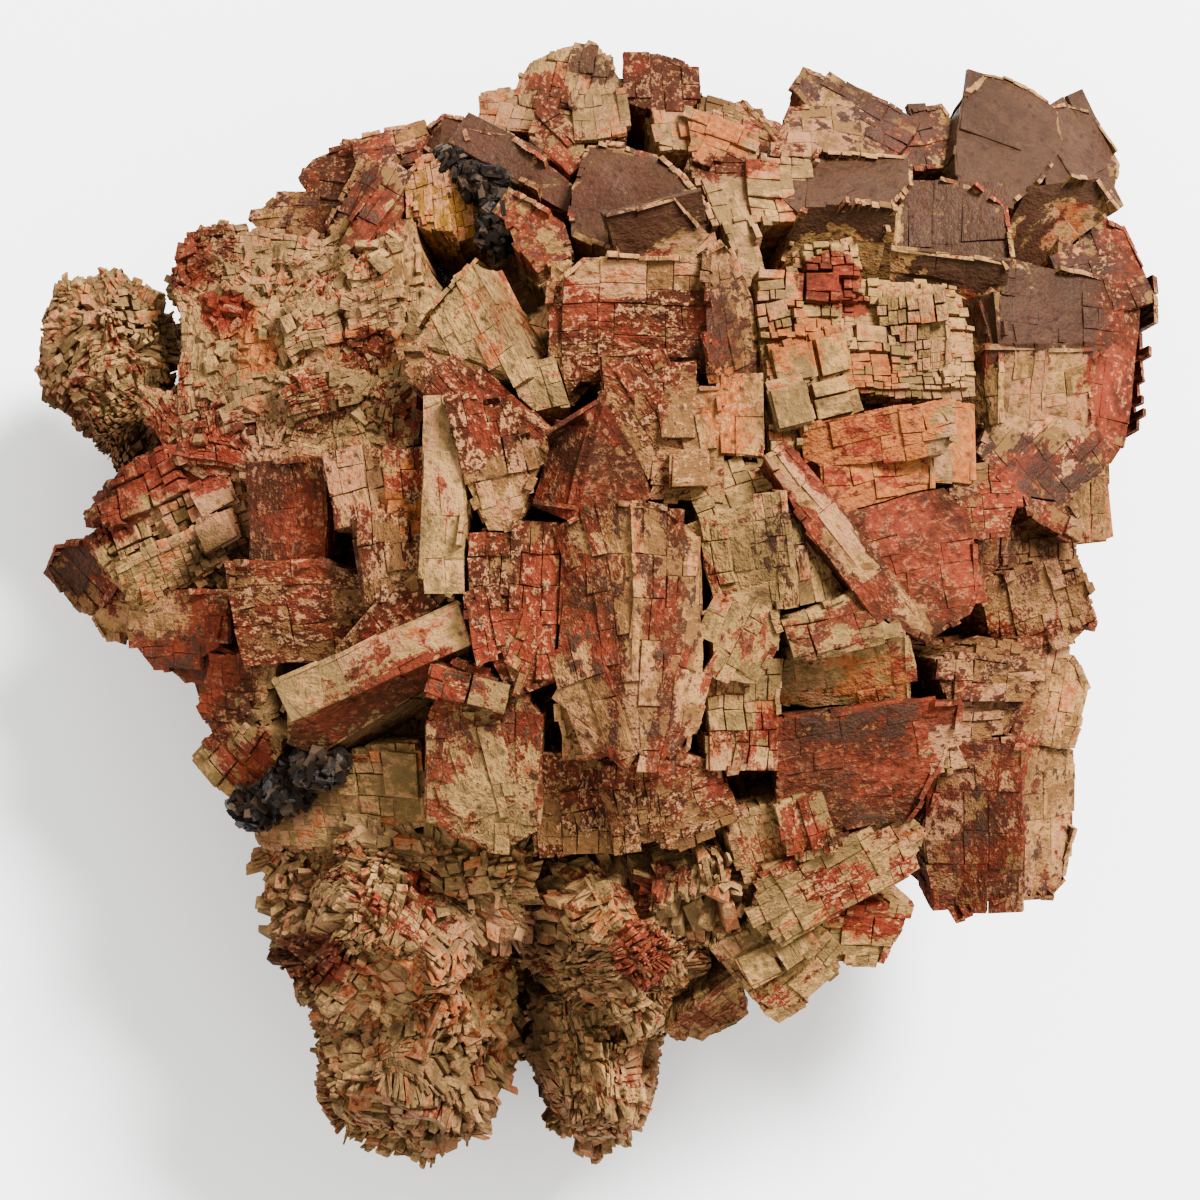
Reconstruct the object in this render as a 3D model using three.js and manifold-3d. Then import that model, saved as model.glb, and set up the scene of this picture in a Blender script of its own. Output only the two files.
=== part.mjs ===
// Microcline on matrix: a cabinet specimen of blocky feldspar crystals grown together over a lump of rock.
// Millimetres, +Z up. It lies as collectors show it, crystals up, on a flat cut under the rock.
// Each crystal is a convex block given by the outline of its top face. Clumps that visible cracks part
// from each other are nodes of their own, and what has grown together inside one clump is one solid.

import * as THREE from 'three';
import Module from 'manifold-3d';
import { ConvexGeometry } from 'three/addons/geometries/ConvexGeometry.js';
import { mergeVertices } from 'three/addons/utils/BufferGeometryUtils.js';

const wasm = await Module();
wasm.setup();

// Driving sizes
const RIM_HEIGHT = 28;         // height of the crystal tops at the rim of the dome
const DOME_RISE = 57;          // how far the middle stands above the rim
const DOME_RADIUS = 95;        // distance over which the dome falls
const DOME_CENTRE = [8, 4];    // the highest place, a little off the middle
const LOWEST_TOP = 30;         // no crystal top at the rim lies lower than this
const EYE_HEIGHT = 700;        // outlines were measured from above, from this far over the middle height
const MIDDLE_HEIGHT = 45;
const SEAM = 0.36;             // the hairline gap that parts two clumps
const FLOOR_GAP = 1.2;         // only the rock reaches the ground
const ROCK_RADIUS = 66;        // the rock at its widest
const ROCK_TOP = 70;           // top of the rock under the crystals
const ROCK_WAIST = 22;         // height at which the rock is widest
const SKIRT_SEED = 4;
const SKIRT_ROWS = [           // side crystals: how many, how far out, how high, and their size
  { count: 8, reach: 0.95, low: 24, size: [22, 22, 12], offset: 0.2 },
  { count: 7, reach: 0.93, low: 12, size: [20, 21, 10], offset: 0.6 },
];

// Colours and finish of each kind of surface
const CREAM = { color: 0xc9b48f, roughness: 0.55 };
const TAN = { color: 0xb39468, roughness: 0.6 };
const RED = { color: 0x8c3f2a, roughness: 0.6 };
const MAUVE = { color: 0x7d5c50, roughness: 0.5 };
const BROWN = { color: 0x6d4636, roughness: 0.55 };
const ORANGE = { color: 0xb9703a, roughness: 0.6 };
const GRANULAR = { color: 0xb08a66, roughness: 0.75 };
const OCHRE = { color: 0xa9812f, roughness: 0.6 };
const BLACK = { color: 0x2a2622, roughness: 0.35 };
const ROCK = { color: 0x8e735a, roughness: 0.85 };

// A repeatable source of small differences
function dice(seed) {
  let state = seed * 7919 + 13;
  return (low, high) => {
    state = (state * 1103515245 + 12345) % 2147483648;
    return low + (high - low) * (state / 2147483648);
  };
}

// Height of the crystal tops over the rock, at a place seen from above
function dome(x, y) {
  const away = Math.hypot(x - DOME_CENTRE[0], y - DOME_CENTRE[1]) / DOME_RADIUS;
  return Math.max(LOWEST_TOP, RIM_HEIGHT + DOME_RISE * (1 - away * away));
}

// How much nearer to the middle a place truly lies than it looks from above, at a given height
function shrink(z) {
  return (EYE_HEIGHT - (z - MIDDLE_HEIGHT)) / EYE_HEIGHT;
}

// The true point of a place seen from above
function spot(x, y, z) {
  return new THREE.Vector3(x * shrink(z), y * shrink(z), Math.max(z, FLOOR_GAP));
}

function middle(points) {
  const sum = points.reduce((total, [x, y]) => [total[0] + x, total[1] + y], [0, 0]);
  return [sum[0] / points.length, sum[1] / points.length];
}

// One crystal block: the outline of its top face, how far it stands up from the dome, how the face slopes,
// how deep it goes and which way its sides run down. A third number at a corner lifts or drops that corner.
function block(face, { up = 0, deep = 22, lean = null, slope = null, foot = 0.74 } = {}) {
  const [cx, cy] = middle(face);
  const z = dome(cx, cy) + up;
  const fall = (-2 * DOME_RISE * 0.6) / (DOME_RADIUS * DOME_RADIUS);
  const [sx, sy] = slope ?? [fall * (cx - DOME_CENTRE[0]), fall * (cy - DOME_CENTRE[1])];
  const [lx, ly] = lean ?? [-0.12 * cx, -0.12 * cy];
  const near = shrink(z);
  const top = face.map(([x, y, lift = 0]) => (
    new THREE.Vector3(x * near, y * near, z + sx * (x - cx) + sy * (y - cy) + lift)
  ));
  const centre = new THREE.Vector3(cx * near, cy * near, z);
  const run = new THREE.Vector3(lx, ly, -deep);
  const under = top.map((corner) => {
    const low = corner.clone().sub(centre).multiplyScalar(foot).add(centre).add(run);
    low.z = Math.max(low.z, FLOOR_GAP);
    return low;
  });
  return top.concat(under);
}

// A small box-shaped cleavage block, turned about the vertical and tipped
function brick(x, y, z, [long, wide, high], heading, tip = 0, roll = 0) {
  const turn = new THREE.Matrix4().makeRotationFromEuler(new THREE.Euler(roll, -tip, heading, 'ZYX'));
  const at = spot(x, y, z);
  const corners = [];
  for (const i of [-0.5, 0.5]) {
    for (const j of [-0.5, 0.5]) {
      for (const k of [-1, 0]) {
        const corner = new THREE.Vector3(i * long, j * wide, k * high).applyMatrix4(turn).add(at);
        corner.z = Math.max(corner.z, FLOOR_GAP);
        corners.push(corner);
      }
    }
  }
  return corners;
}

// Rows of cleavage blocks side by side, each a little higher or lower than the next
function bricks(x, y, { up = 0, size = [4, 3.5, 8], rows = 3, columns = 4, heading = 0, step = 1, seed = 1 }) {
  const chance = dice(seed);
  const turn = THREE.MathUtils.degToRad(heading);
  const made = [];
  for (let row = 0; row < rows; row += 1) {
    for (let column = 0; column < columns; column += 1) {
      const along = (column - (columns - 1) / 2) * size[0] + (row % 2) * size[0] * 0.25;
      const across = (row - (rows - 1) / 2) * size[1];
      const bx = x + along * Math.cos(turn) - across * Math.sin(turn);
      const by = y + along * Math.sin(turn) + across * Math.cos(turn);
      const z = dome(bx, by) + up + chance(-step, step);
      const grown = [size[0] * chance(0.84, 0.93), size[1] * chance(0.82, 0.92), size[2]];
      const tip = 0.45 * Math.atan((dome(bx + Math.cos(turn), by + Math.sin(turn)) - dome(bx, by)));
      made.push(brick(bx, by, z, grown, turn + chance(-0.04, 0.04), tip + chance(-0.06, 0.06), chance(-0.06, 0.06)));
    }
  }
  return made;
}

// A rounded lump with flat facets, from one of the regular solids
function lump(x, y, z, [rx, ry, rz], turn, regular) {
  const corners = regular.getAttribute('position');
  const at = spot(x, y, z);
  const points = [];
  for (let i = 0; i < corners.count; i += 1) {
    const p = new THREE.Vector3().fromBufferAttribute(corners, i);
    p.set(p.x * rx, p.y * ry, p.z * rz).applyAxisAngle(new THREE.Vector3(0, 0, 1), turn).add(at);
    p.z = Math.max(p.z, FLOOR_GAP);
    points.push(p);
  }
  return points;
}

// A knob of fine blades: a lump with pointed blades standing out of it all over, laid in spiral order
function knob(x, y, z, radii, { count = 12, size = [9, 5, 5], seed = 1, grain = 90 }) {
  const chance = dice(seed);
  const centre = spot(x, y, z);
  const golden = Math.PI * (3 - Math.sqrt(5));
  const blades = [];
  for (let i = 0; i < count; i += 1) {
    const height = 1 - (1.5 * (i + 0.5)) / count;
    const ring = Math.sqrt(1 - height * height);
    const out = new THREE.Vector3(Math.cos(golden * i) * ring, Math.sin(golden * i) * ring, height);
    const skin = new THREE.Vector3(out.x * radii[0], out.y * radii[1], out.z * radii[2]);
    const normal = new THREE.Vector3(out.x / radii[0], out.y / radii[1], out.z / radii[2]).normalize();
    const turn = new THREE.Quaternion().setFromUnitVectors(new THREE.Vector3(0, 0, 1), normal);
    const spin = THREE.MathUtils.degToRad(grain) + chance(-0.4, 0.4);
    const [long, wide, high] = size.map((length) => length * chance(0.8, 1.2));
    const foot = [[-long, -wide, -high], [-long, wide, -high], [long, -wide, -high], [long, wide, -high]];
    const roof = [...foot, [-long * 0.7, 0, 0], [long * 0.8, 0, 0.5]];
    blades.push(roof.map(([a, b, c]) => {
      const corner = new THREE.Vector3(a / 2, b / 2, c).applyAxisAngle(new THREE.Vector3(0, 0, 1), spin);
      corner.applyQuaternion(turn).add(skin).add(centre);
      corner.z = Math.max(corner.z, FLOOR_GAP);
      return corner;
    }));
  }
  return [lump(x, y, z, radii, 0.4 * seed, new THREE.DodecahedronGeometry(1.08)), ...blades];
}

// A solid from the points of a convex block
function solid(points) {
  return closed(new ConvexGeometry(points));
}

// The outer planes of a convex block, each once
function planes(points) {
  const position = new ConvexGeometry(points).getAttribute('position');
  const found = [];
  for (let i = 0; i < position.count; i += 3) {
    const [a, b, c] = [0, 1, 2].map((k) => new THREE.Vector3().fromBufferAttribute(position, i + k));
    const triangle = new THREE.Triangle(a, b, c);
    if (triangle.getArea() < 1e-3) continue;
    const plane = triangle.getPlane(new THREE.Plane());
    const known = found.some((p) => p.normal.dot(plane.normal) > 0.9998 && Math.abs(p.constant - plane.constant) < 0.05);
    if (!known) found.push(plane);
  }
  return found;
}

// The same convex block with every face moved out by a seam's width
function wider(points, by) {
  const faces = planes(points).map((p) => new THREE.Plane(p.normal, p.constant - by));
  const corners = new Map();
  for (let i = 0; i < faces.length; i += 1) {
    for (let j = i + 1; j < faces.length; j += 1) {
      for (let k = j + 1; k < faces.length; k += 1) {
        const m = new THREE.Matrix3().set(
          faces[i].normal.x, faces[i].normal.y, faces[i].normal.z,
          faces[j].normal.x, faces[j].normal.y, faces[j].normal.z,
          faces[k].normal.x, faces[k].normal.y, faces[k].normal.z,
        );
        if (Math.abs(m.determinant()) < 1e-4) continue;
        const away = new THREE.Vector3(-faces[i].constant, -faces[j].constant, -faces[k].constant);
        const corner = away.applyMatrix3(m.invert());
        if (faces.every((p) => p.distanceToPoint(corner) < 1e-3)) {
          corners.set([corner.x, corner.y, corner.z].map((v) => v.toFixed(2)).join(), corner);
        }
      }
    }
  }
  return [...corners.values()];
}

function union(solids) {
  let joined = solids[0];
  for (const next of solids.slice(1)) joined = joined.add(next);
  return joined;
}

// A clump's largest body, without the crumbs that a cut leaves
function largest(body) {
  const bodies = body.decompose();
  return bodies.reduce((best, next) => (next.volume() > best.volume() ? next : best));
}

// A body from a closed geometry of three.js
function closed(geometry) {
  geometry.deleteAttribute('normal');
  geometry.deleteAttribute('uv');
  const merged = mergeVertices(geometry, 1e-4);
  return new wasm.Manifold(new wasm.Mesh({
    numProp: 3,
    vertProperties: new Float32Array(merged.getAttribute('position').array),
    triVerts: new Uint32Array(merged.index.array),
  }));
}

// How far the rock reaches at a bearing
function rockReach(bearing) {
  const waves = 0.09 * Math.cos(bearing - 2.1) + 0.07 * Math.cos(2 * (bearing - 0.75)) + 0.03 * Math.sin(5 * bearing + 1);
  return ROCK_RADIUS * (1 + waves);
}

// The rock: a rough dome that follows the crystal tops from below, drawn in towards a flat cut at the foot
function rock(extra) {
  const ball = new THREE.IcosahedronGeometry(1, 2);
  const position = ball.getAttribute('position');
  for (let i = 0; i < position.count; i += 1) {
    const p = new THREE.Vector3().fromBufferAttribute(position, i);
    const bearing = Math.atan2(p.y, p.x);
    const rough = 1 + 0.03 * Math.sin(7 * p.x + 5 * p.z) + 0.03 * Math.sin(6 * p.y - 4 * p.z + 2);
    const flat = Math.hypot(p.x, p.y) * rockReach(bearing) * rough;
    const waist = ROCK_WAIST * rough;
    const z = p.z > 0 ? waist + (ROCK_TOP - ROCK_WAIST) * p.z * rough : waist + 50 * p.z;
    const q = new THREE.Vector3(Math.cos(bearing) * flat + DOME_CENTRE[0], Math.sin(bearing) * flat + DOME_CENTRE[1], z);
    q.addScaledVector(p, extra);
    position.setXYZ(i, q.x, q.y, q.z);
  }
  const below = new THREE.BoxGeometry(400, 400, 100).translate(0, 0, -50);
  return closed(ball).subtract(closed(below));
}

// Crystals low on the sides, which grow out of the rock under the rim all the way round
function skirt(rows) {
  const chance = dice(SKIRT_SEED);
  const made = [];
  for (const { count, reach, low, size, offset } of rows) {
    for (let i = 0; i < count; i += 1) {
      const bearing = ((i + offset) / count) * Math.PI * 2 + chance(-0.05, 0.05);
      const away = rockReach(bearing) * reach * chance(0.96, 1.05);
      const box = size.map((length) => length * chance(0.8, 1.2));
      const x = DOME_CENTRE[0] + Math.cos(bearing) * away;
      const y = DOME_CENTRE[1] + Math.sin(bearing) * away;
      made.push(brick(x, y, low + chance(-3, 4), box, bearing + chance(-0.3, 0.3), chance(-0.75, -0.25), chance(-0.35, 0.35)));
    }
  }
  return made;
}

const clumps = [];

function clump(name, finish, pieces) {
  clumps.push({ name, finish, pieces });
}

// Black crust in the seam between the mauve slabs and the ochre crystal
const upperSeam = [[-21.5, 67.8, 0.3], [-16.4, 64.5, -0.7], [-14.8, 59, 1.4]];
clump('crust_black_upper', BLACK, upperSeam.map(([x, y, turn]) => (
  lump(x, y, dome(x, y) + 0.8, [5.6, 3.8, 5], turn, new THREE.IcosahedronGeometry(1))
)));

// Black crust at the lower left, with a clear crystal set in it
const lowerSeam = [[-53.5, -34, 0.2], [-48.5, -31, 0.9], [-43.5, -27.5, 0.4]];
clump('crust_black_lower', BLACK, lowerSeam.map(([x, y, turn]) => (
  lump(x, y, dome(x, y) + 1.4, [4.6, 3.4, 6], turn, new THREE.IcosahedronGeometry(1))
)));

// The centre: the tall column, highest of all, with a rounded top end and flat steep sides
clump('column_centre', RED, [
  block([[-5, 11, -4], [0, 14.5, -2], [7, 14], [6.5, -25, 1], [-2, -27, -4], [-6, -15, -5]],
    { up: 5, deep: 21, lean: [-2, 0], slope: [0, 0] }),
  block([[6.5, 14], [12, 13], [17, 9, -2], [17, -22, -3], [10, -29], [6.5, -25]],
    { up: 5.5, deep: 21, lean: [2, -2], slope: [0, 0] }),
  block([[-6, -15], [0, -14], [1, -26], [-5, -27]], { up: 1.5, deep: 16, slope: [0.1, 0.1] }),
]);

// Upper centre: a big stepped crystal with a red front face and a striated side to the right
clump('crystal_upper_centre', CREAM, [
  block([[-5, 50], [-2, 53], [18, 53], [19, 36], [-3, 33.5]], { up: 5.5, deep: 18, slope: [-0.05, 0.2] }),
  block([[18, 54], [21, 55], [25.5, 46], [28.5, 26], [22, 25], [18, 37]],
    { up: 2, deep: 18, slope: [-0.95, 0.1], lean: [3, 0] }),
  block([[-7, 50], [-4, 53], [-2, 34], [-5, 30], [-7, 34]], { up: 3, deep: 16, slope: [0.2, 0] }),
  block([[20, 35], [27, 35], [27, 23], [20, 22]], { up: 1, deep: 15 }),
  block([[1, 38], [11, 39], [11, 18], [3, 18]], { up: 1.5, deep: 16, slope: [0, 0.2] }),
  ...bricks(12.5, 30.5, { up: 2, size: [5.6, 6, 9], rows: 2, columns: 1, heading: 4, step: 1.2, seed: 3 }),
  block([[9, 33], [20, 33], [21, 14], [9, 15]], { up: -0.5, deep: 15, slope: [0, 0] }),
  ...bricks(15, 22.5, { up: 1, size: [6, 6, 6], rows: 2, columns: 1, heading: 4, step: 1.4, seed: 4 }),
]);

// The pointed crystal with the deep red triangle, left of the column
clump('crystal_red_point', RED, [
  block([[1, 32], [-4.5, 14], [3, 12.5], [9.5, 15.5]], { up: 1.5, deep: 16, slope: [-0.45, 0.25] }),
  block([[2.2, 32], [-3, 13], [-10, 13.5], [-7.5, 23]], { up: 3, deep: 15, slope: [0.75, -0.05] }),
]);

// The rough red mass below it, with a pale blade on its left
clump('crystals_red_centre', RED, [
  block([[-20, 9], [-6, 11], [-5, 2], [-6, -14], [-13, -17], [-20, -6]], { up: 0, deep: 15, slope: [0.12, 0] }),
  block([[-21, -1], [-16, 1], [-14.5, -10], [-19, -12]], { up: 3.5, deep: 13, slope: [0, 0.1] }),
  block([[-15, -4], [-9, -4], [-9, -9], [-12, -17], [-15, -10]], { up: 2.5, deep: 13 }),
]);

// Left of centre: the red and white slab over a diagonal strip
clump('slab_red_white', CREAM, [
  block([[-24, 31], [-14, 31], [-9, 20], [-13, 9.5], [-17, 9.5], [-21, 18]], { up: 4, deep: 17, slope: [0, 0.15] }),
  block([[-32, 39], [-30, 34], [-19, 30], [-7, 19], [-5, 24], [-18, 36]], { up: 2, deep: 13, slope: [0.1, 0.1] }),
]);

// The long cream blade beside it
clump('blade_cream', CREAM, [
  block([[-27.5, 30], [-24, 31.5], [-21, 20], [-21, 4], [-24, -0.5], [-27.5, 2]],
    { up: 5, deep: 17, slope: [0.1, 0] }),
]);

// The tan pointed prism with a ridge down its length and a striated dark side
clump('prism_tan_pointed', TAN, [
  block([[-29, 40, -3], [-20, 52.5, 0], [-10, 34, 2], [-8, 38, -5], [-16, 52, -8], [-23, 34, -5]],
    { up: 6, deep: 16, slope: [0.1, -0.1] }),
  block([[-14, 36], [-6, 37], [-4, 30], [-11, 28.5]], { up: 1.5, deep: 12, slope: [0, 0.1] }),
]);

// The big mauve crystal at the top, smooth above and cream on its lower right
clump('crystal_mauve_top', MAUVE, [
  block([[-4, 65, -2], [-1, 72, -2], [5, 72, -1], [10, 70.5, -1], [14, 67], [18, 62], [19.5, 56, -4], [12, 51, -5], [6, 53, -2], [-4, 57, -3]],
    { up: 6, deep: 18 }),
  block([[2, 60], [13, 63], [18.5, 57], [11, 50], [5, 51]], { up: 4, deep: 12, slope: [-0.3, 0.55] }),
]);

// Two slabs that run diagonally side by side: a mauve one with a small red pyramid at its upper end
clump('slab_mauve_diagonal', MAUVE, [
  block([[-22, 74.5], [-15, 74.5], [-3.5, 65], [-4.5, 60.5], [-14, 66.5], [-20, 69.5]],
    { up: 4.5, deep: 16, slope: [0.1, -0.3] }),
  block([[-28, 71, -2], [-24, 76.5, 1], [-19, 75], [-18, 70], [-25, 69]], { up: 1.5, deep: 15 }),
]);

// A pink and cream slab below the mauve one
clump('slab_pink_diagonal', CREAM, [
  block([[-14, 65], [-5, 59], [-3.5, 54], [-9, 50.5], [-13, 56], [-15, 61]],
    { up: 4.5, deep: 16, slope: [0.1, -0.2] }),
]);

// The ochre crystal beside the black crust
clump('crystal_ochre', OCHRE, [
  block([[-31, 66], [-28, 69.5], [-22, 68], [-18, 62], [-19, 57], [-24, 56], [-30, 60]],
    { up: 1.5, deep: 15, slope: [0, -0.1] }),
  block([[-30, 64], [-24, 65], [-23, 57.5], [-28, 59]], { up: 3, deep: 12 }),
]);

// Pale crystals at the top edge
clump('crystals_pale_top', TAN, [
  block([[-12.5, 81, -1], [-10, 85], [-5, 87.5], [-1, 88], [1.5, 87], [4, 82], [4, 79], [-5, 77], [-12, 77]],
    { up: 3, deep: 17, lean: [0, -7] }),
  block([[-17.5, 80], [-17.5, 74], [-9, 73], [-9, 80.5]], { up: 1, deep: 16, lean: [2, -5] }),
  block([[-4, 80.5], [4, 80.5], [5, 74], [-3, 72]], { up: 5, deep: 16, lean: [0, -6] }),
  block([[-10, 72], [-8, 78], [-2, 77], [-1.5, 71], [-4, 66]], { up: 3, deep: 15 }),
]);

// A pale slab that stands on edge below the cream blocks
clump('slab_pale_on_edge', CREAM, [
  block([[20.5, 59], [25, 60], [28, 48], [24, 45]], { up: 1, deep: 15, slope: [-0.1, 0] }),
]);

// The dark red lump beside them
clump('crystal_red_top', RED, [
  block([[4.5, 86.5], [10, 86.5], [14.5, 84.5], [17, 81], [16, 77.5], [10, 76], [4.5, 79]],
    { up: 5, deep: 16, lean: [0, -8] }),
]);

// Cream blocks in steps at the top right of it
clump('blocks_cream_top', CREAM, [
  block([[9, 78], [15, 78], [15, 70.5], [10, 71]], { up: 3, deep: 13 }),
  block([[14.5, 77.5], [21, 75], [25, 73.5], [25, 68.5], [15.5, 68]], { up: 5, deep: 16, lean: [0, -7] }),
  block([[15.5, 69.5], [25, 70], [25, 64], [16, 65]], { up: 3, deep: 15 }),
  block([[17, 66], [25, 66], [25, 59], [19.5, 59]], { up: 2, deep: 15 }),
  block([[24, 69], [35, 69], [35, 60], [25, 59]], { up: 4, deep: 15 }),
]);

// Upper left: the maroon crystals at the rim
clump('crystals_maroon_rim', BROWN, [
  block([[-47.5, 66], [-45, 69.5], [-38, 72.5], [-34, 68], [-36, 62], [-45, 63]], { up: 1, deep: 16, lean: [5, -8] }),
  block([[-46, 65], [-38, 65], [-37, 56], [-46, 57]], { up: -1, deep: 15 }),
  block([[-39, 72], [-28, 75.5], [-26.5, 73], [-29, 68], [-37, 67]], { up: 3, deep: 16, lean: [4, -8] }),
  block([[-55.5, 60], [-50, 64], [-44, 63], [-45, 56], [-52, 56]], { up: 1.5, deep: 16, lean: [7, -7] }),
]);

// Parallel slabs that stand on edge beside them
clump('slabs_parallel_left', BROWN, [
  block([[-31.5, 70.5], [-36, 70.5], [-43, 58], [-39, 54.5]], { up: 4.5, deep: 17, slope: [0.1, -0.2], foot: 1 }),
  block([[-29.5, 67], [-32.5, 69], [-40.5, 56], [-37, 53.5]], { up: 6, deep: 17, slope: [0.1, -0.2], foot: 1 }),
  block([[-28.5, 66], [-32, 68], [-37, 57], [-32.5, 55.5]], { up: 4, deep: 16, slope: [0.1, -0.2], foot: 1 }),
  block([[-35, 58.5], [-28.5, 59], [-27.5, 49], [-33, 48]], { up: 1.5, deep: 15 }),
]);

// The granular field at the left: thin bricks that rise to the right, over a base of the same stuff
clump('field_granular_left', GRANULAR, [
  block([[-67, 56], [-56, 58], [-34, 56], [-25, 48], [-29, 20], [-44, 19], [-66, 22]],
    { up: -1, deep: 16, lean: [6, -4] }),
  block([[-73, 33], [-62, 31], [-42, 26], [-42, 19], [-62, 19], [-73, 27]], { up: 1.5, deep: 13, lean: [9, -3] }),
  block([[-67.5, 55], [-66, 58], [-56, 58], [-55, 49], [-67.5, 47]], { up: 2.5, deep: 16, lean: [8, -6] }),
  ...bricks(-46, 46, { up: 1, size: [10, 7.5, 5], rows: 2, columns: 3, heading: 13, step: 1.1, seed: 7 }),
  ...bricks(-50, 31, { up: 1, size: [13, 7, 5], rows: 1, columns: 2, heading: 13, step: 1.1, seed: 8 }),
]);

// The granular knob at the far left
clump('knob_left', GRANULAR, [
  ...knob(-77.5, 38.5, 30, [10.6, 11, 14], { count: 4, size: [9, 7, 3.5], seed: 9, grain: 30 }),
  block([[-81, 29], [-70, 33], [-66, 26], [-69, 19.5], [-75, 19.5]], { up: -4, deep: 12, lean: [9, -2] }),
]);

// The maroon slab at the left with its stack of tan cubes below
clump('stack_tan_left', TAN, [
  block([[-82, 11.5], [-79, 16], [-75, 20], [-69, 23], [-54, 26.5], [-54, 21], [-62, 19], [-75, 11]],
    { up: 3.5, deep: 15, lean: [9, 1] }),
  block([[-81.5, 9], [-75, 13], [-57, 20.5], [-54, 11], [-60, 4], [-71, -2.5], [-78, 3]],
    { up: 0, deep: 16, lean: [9, 2] }),
  block([[-76, 3], [-58, 12], [-53.5, 9], [-60, 1], [-70, -5]],
    { up: -1, deep: 14, lean: [8, 2], slope: [-0.45, 0.8] }),
  ...bricks(-68, 9, { up: 2.5, size: [7, 5.4, 6], rows: 2, columns: 3, heading: 24, step: 1.1, seed: 10 }),
]);

// Pointed tips and the red and cream crystal at the left edge
clump('crystals_left_tips', RED, [
  block([[-88.5, 3.5], [-85, 8], [-80, 8], [-74, 2], [-78, -4], [-84, -2]], { up: 0, deep: 13, lean: [14, 2] }),
  block([[-81, -4.5], [-78.5, -7.5], [-74.5, -6.5], [-68, 0], [-76, 1.5]], { up: 0.5, deep: 13, lean: [12, 2] }),
  block([[-75, -6], [-71, -12], [-66, -12.5], [-60, -9], [-58, 0], [-71, 1]], { up: 2.5, deep: 17, lean: [8, 1] }),
  block([[-69, -11], [-65.5, -14.5], [-60, -15.5], [-57, -10], [-62, -8]], { up: 0, deep: 16, lean: [8, 2] }),
]);

// The red faces left of centre, around a small dark hole
clump('crystals_red_left', RED, [
  block([[-58, 4], [-44, 5], [-38, 2.5], [-30, 1], [-32, -10], [-57, -12]],
    { up: -0.5, deep: 16, slope: [0.2, 0.35] }),
  block([[-38, 12], [-24, 11], [-23, -1], [-37, -2]], { up: 1, deep: 15 }),
  block([[-43.5, 22], [-33, 22.5], [-32, 13], [-41, 10]], { up: 2, deep: 15 }),
  block([[-34, 23], [-24, 22], [-23, 9], [-33, 9]], { up: 1, deep: 15, slope: [0.1, 0.2] }),
  block([[-41, -13.5], [-36, -13.5], [-24, -1], [-23.5, 4], [-28, 4], [-42, -9]], { up: 2, deep: 15 }),
]);

// The deep red face beside the hole
clump('crystal_red_face', RED, [
  block([[-56, 21], [-43, 21], [-43.5, 6], [-55, 4]], { up: 1, deep: 16, slope: [0.35, 0.1] }),
]);

// Lower left: small cream cubes and blocky tan crystals at the edge
clump('cubes_lower_left', TAN, [
  block([[-64.5, -27], [-57, -19], [-50, -24], [-53, -32], [-56, -34.5], [-60, -31]],
    { up: 1.5, deep: 16, lean: [8, 4] }),
  block([[-61.5, -10], [-52, -11], [-53, -20], [-60, -23.5], [-63.5, -18]], { up: 0.5, deep: 16, lean: [8, 2] }),
  block([[-57, -34], [-40, -26], [-28, -25], [-27, -37], [-40, -41], [-54, -41]],
    { up: -1.5, deep: 15, lean: [5, 5] }),
]);

// The long cream prism that rises to the right, dark on its lower side
clump('prism_cream_left', CREAM, [
  block([[-52, -14], [-45, -12], [-22, -2], [-20.5, -6], [-47, -20]],
    { up: 7, deep: 16, lean: [4, -5], slope: [0.2, 0] }),
  block([[-49.5, -17], [-21, -4], [-20, -9], [-30, -17], [-45, -26], [-49.5, -24.5]],
    { up: 2.5, deep: 14, lean: [3, -3], slope: [-0.15, 0.8] }),
]);

// The rounded block below centre with small cubes on it
clump('block_rounded_lower', TAN, [
  block([[-27, -21], [-22, -11], [-12, -15], [-8.5, -20], [-9, -38], [-16, -42], [-27, -37]], { up: 2.5, deep: 17 }),
  block([[-24, -24], [-15, -21], [-12, -33], [-20, -37], [-25, -34]], { up: 4, deep: 12 }),
  ...bricks(-20, -15.5, { up: 3.5, size: [6.5, 5, 6], rows: 1, columns: 2, heading: -15, step: 1.2, seed: 14 }),
]);

// Granular knob at the bottom left, of radiating blades
clump('knob_bottom_left', GRANULAR, [
  ...knob(-27, -67, 28, [16.6, 21, 26], { count: 5, size: [14, 9, 5], seed: 15, grain: 20 }),
  ...knob(-31, -51, 38, [20, 15, 28], { count: 3, size: [14, 9, 5], seed: 42, grain: 20 }),
  block([[-53.5, -41.5], [-48, -38.5], [-38, -38.5], [-38, -60], [-50, -60], [-52, -55]],
    { up: -1, deep: 19, lean: [5, 6] }),
  block([[-42, -38], [-26, -38], [-12, -42], [-12, -55], [-38, -55]], { up: -1, deep: 17 }),
]);

// Granular knob at the bottom, of upright blades that run away from the middle
clump('knob_bottom_right', GRANULAR, [
  ...knob(-0.7, -71, 26, [9, 16.5, 26], { count: 3, size: [13, 7, 4.5], seed: 16, grain: 90 }),
  ...knob(3, -52, 40, [12.5, 18, 30], { count: 3, size: [14, 8, 5], seed: 17, grain: 75 }),
  ...knob(15, -44, 44, [11, 13, 26], { count: 2, size: [11, 7, 4.5], seed: 43, grain: 60 }),
]);

// Red and cream blocks between the column and the knobs
clump('blocks_red_lower', RED, [
  block([[-10, -26], [2, -27], [4, -40], [-9, -42]], { up: 0, deep: 16, slope: [0.1, 0.35] }),
  block([[1, -27], [11, -27], [12, -39], [3, -42]], { up: 2, deep: 16, slope: [0, 0.4] }),
  block([[10, -27], [20, -28], [23, -37], [12, -41]], { up: 1, deep: 16, slope: [-0.2, 0.3] }),
]);

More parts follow.
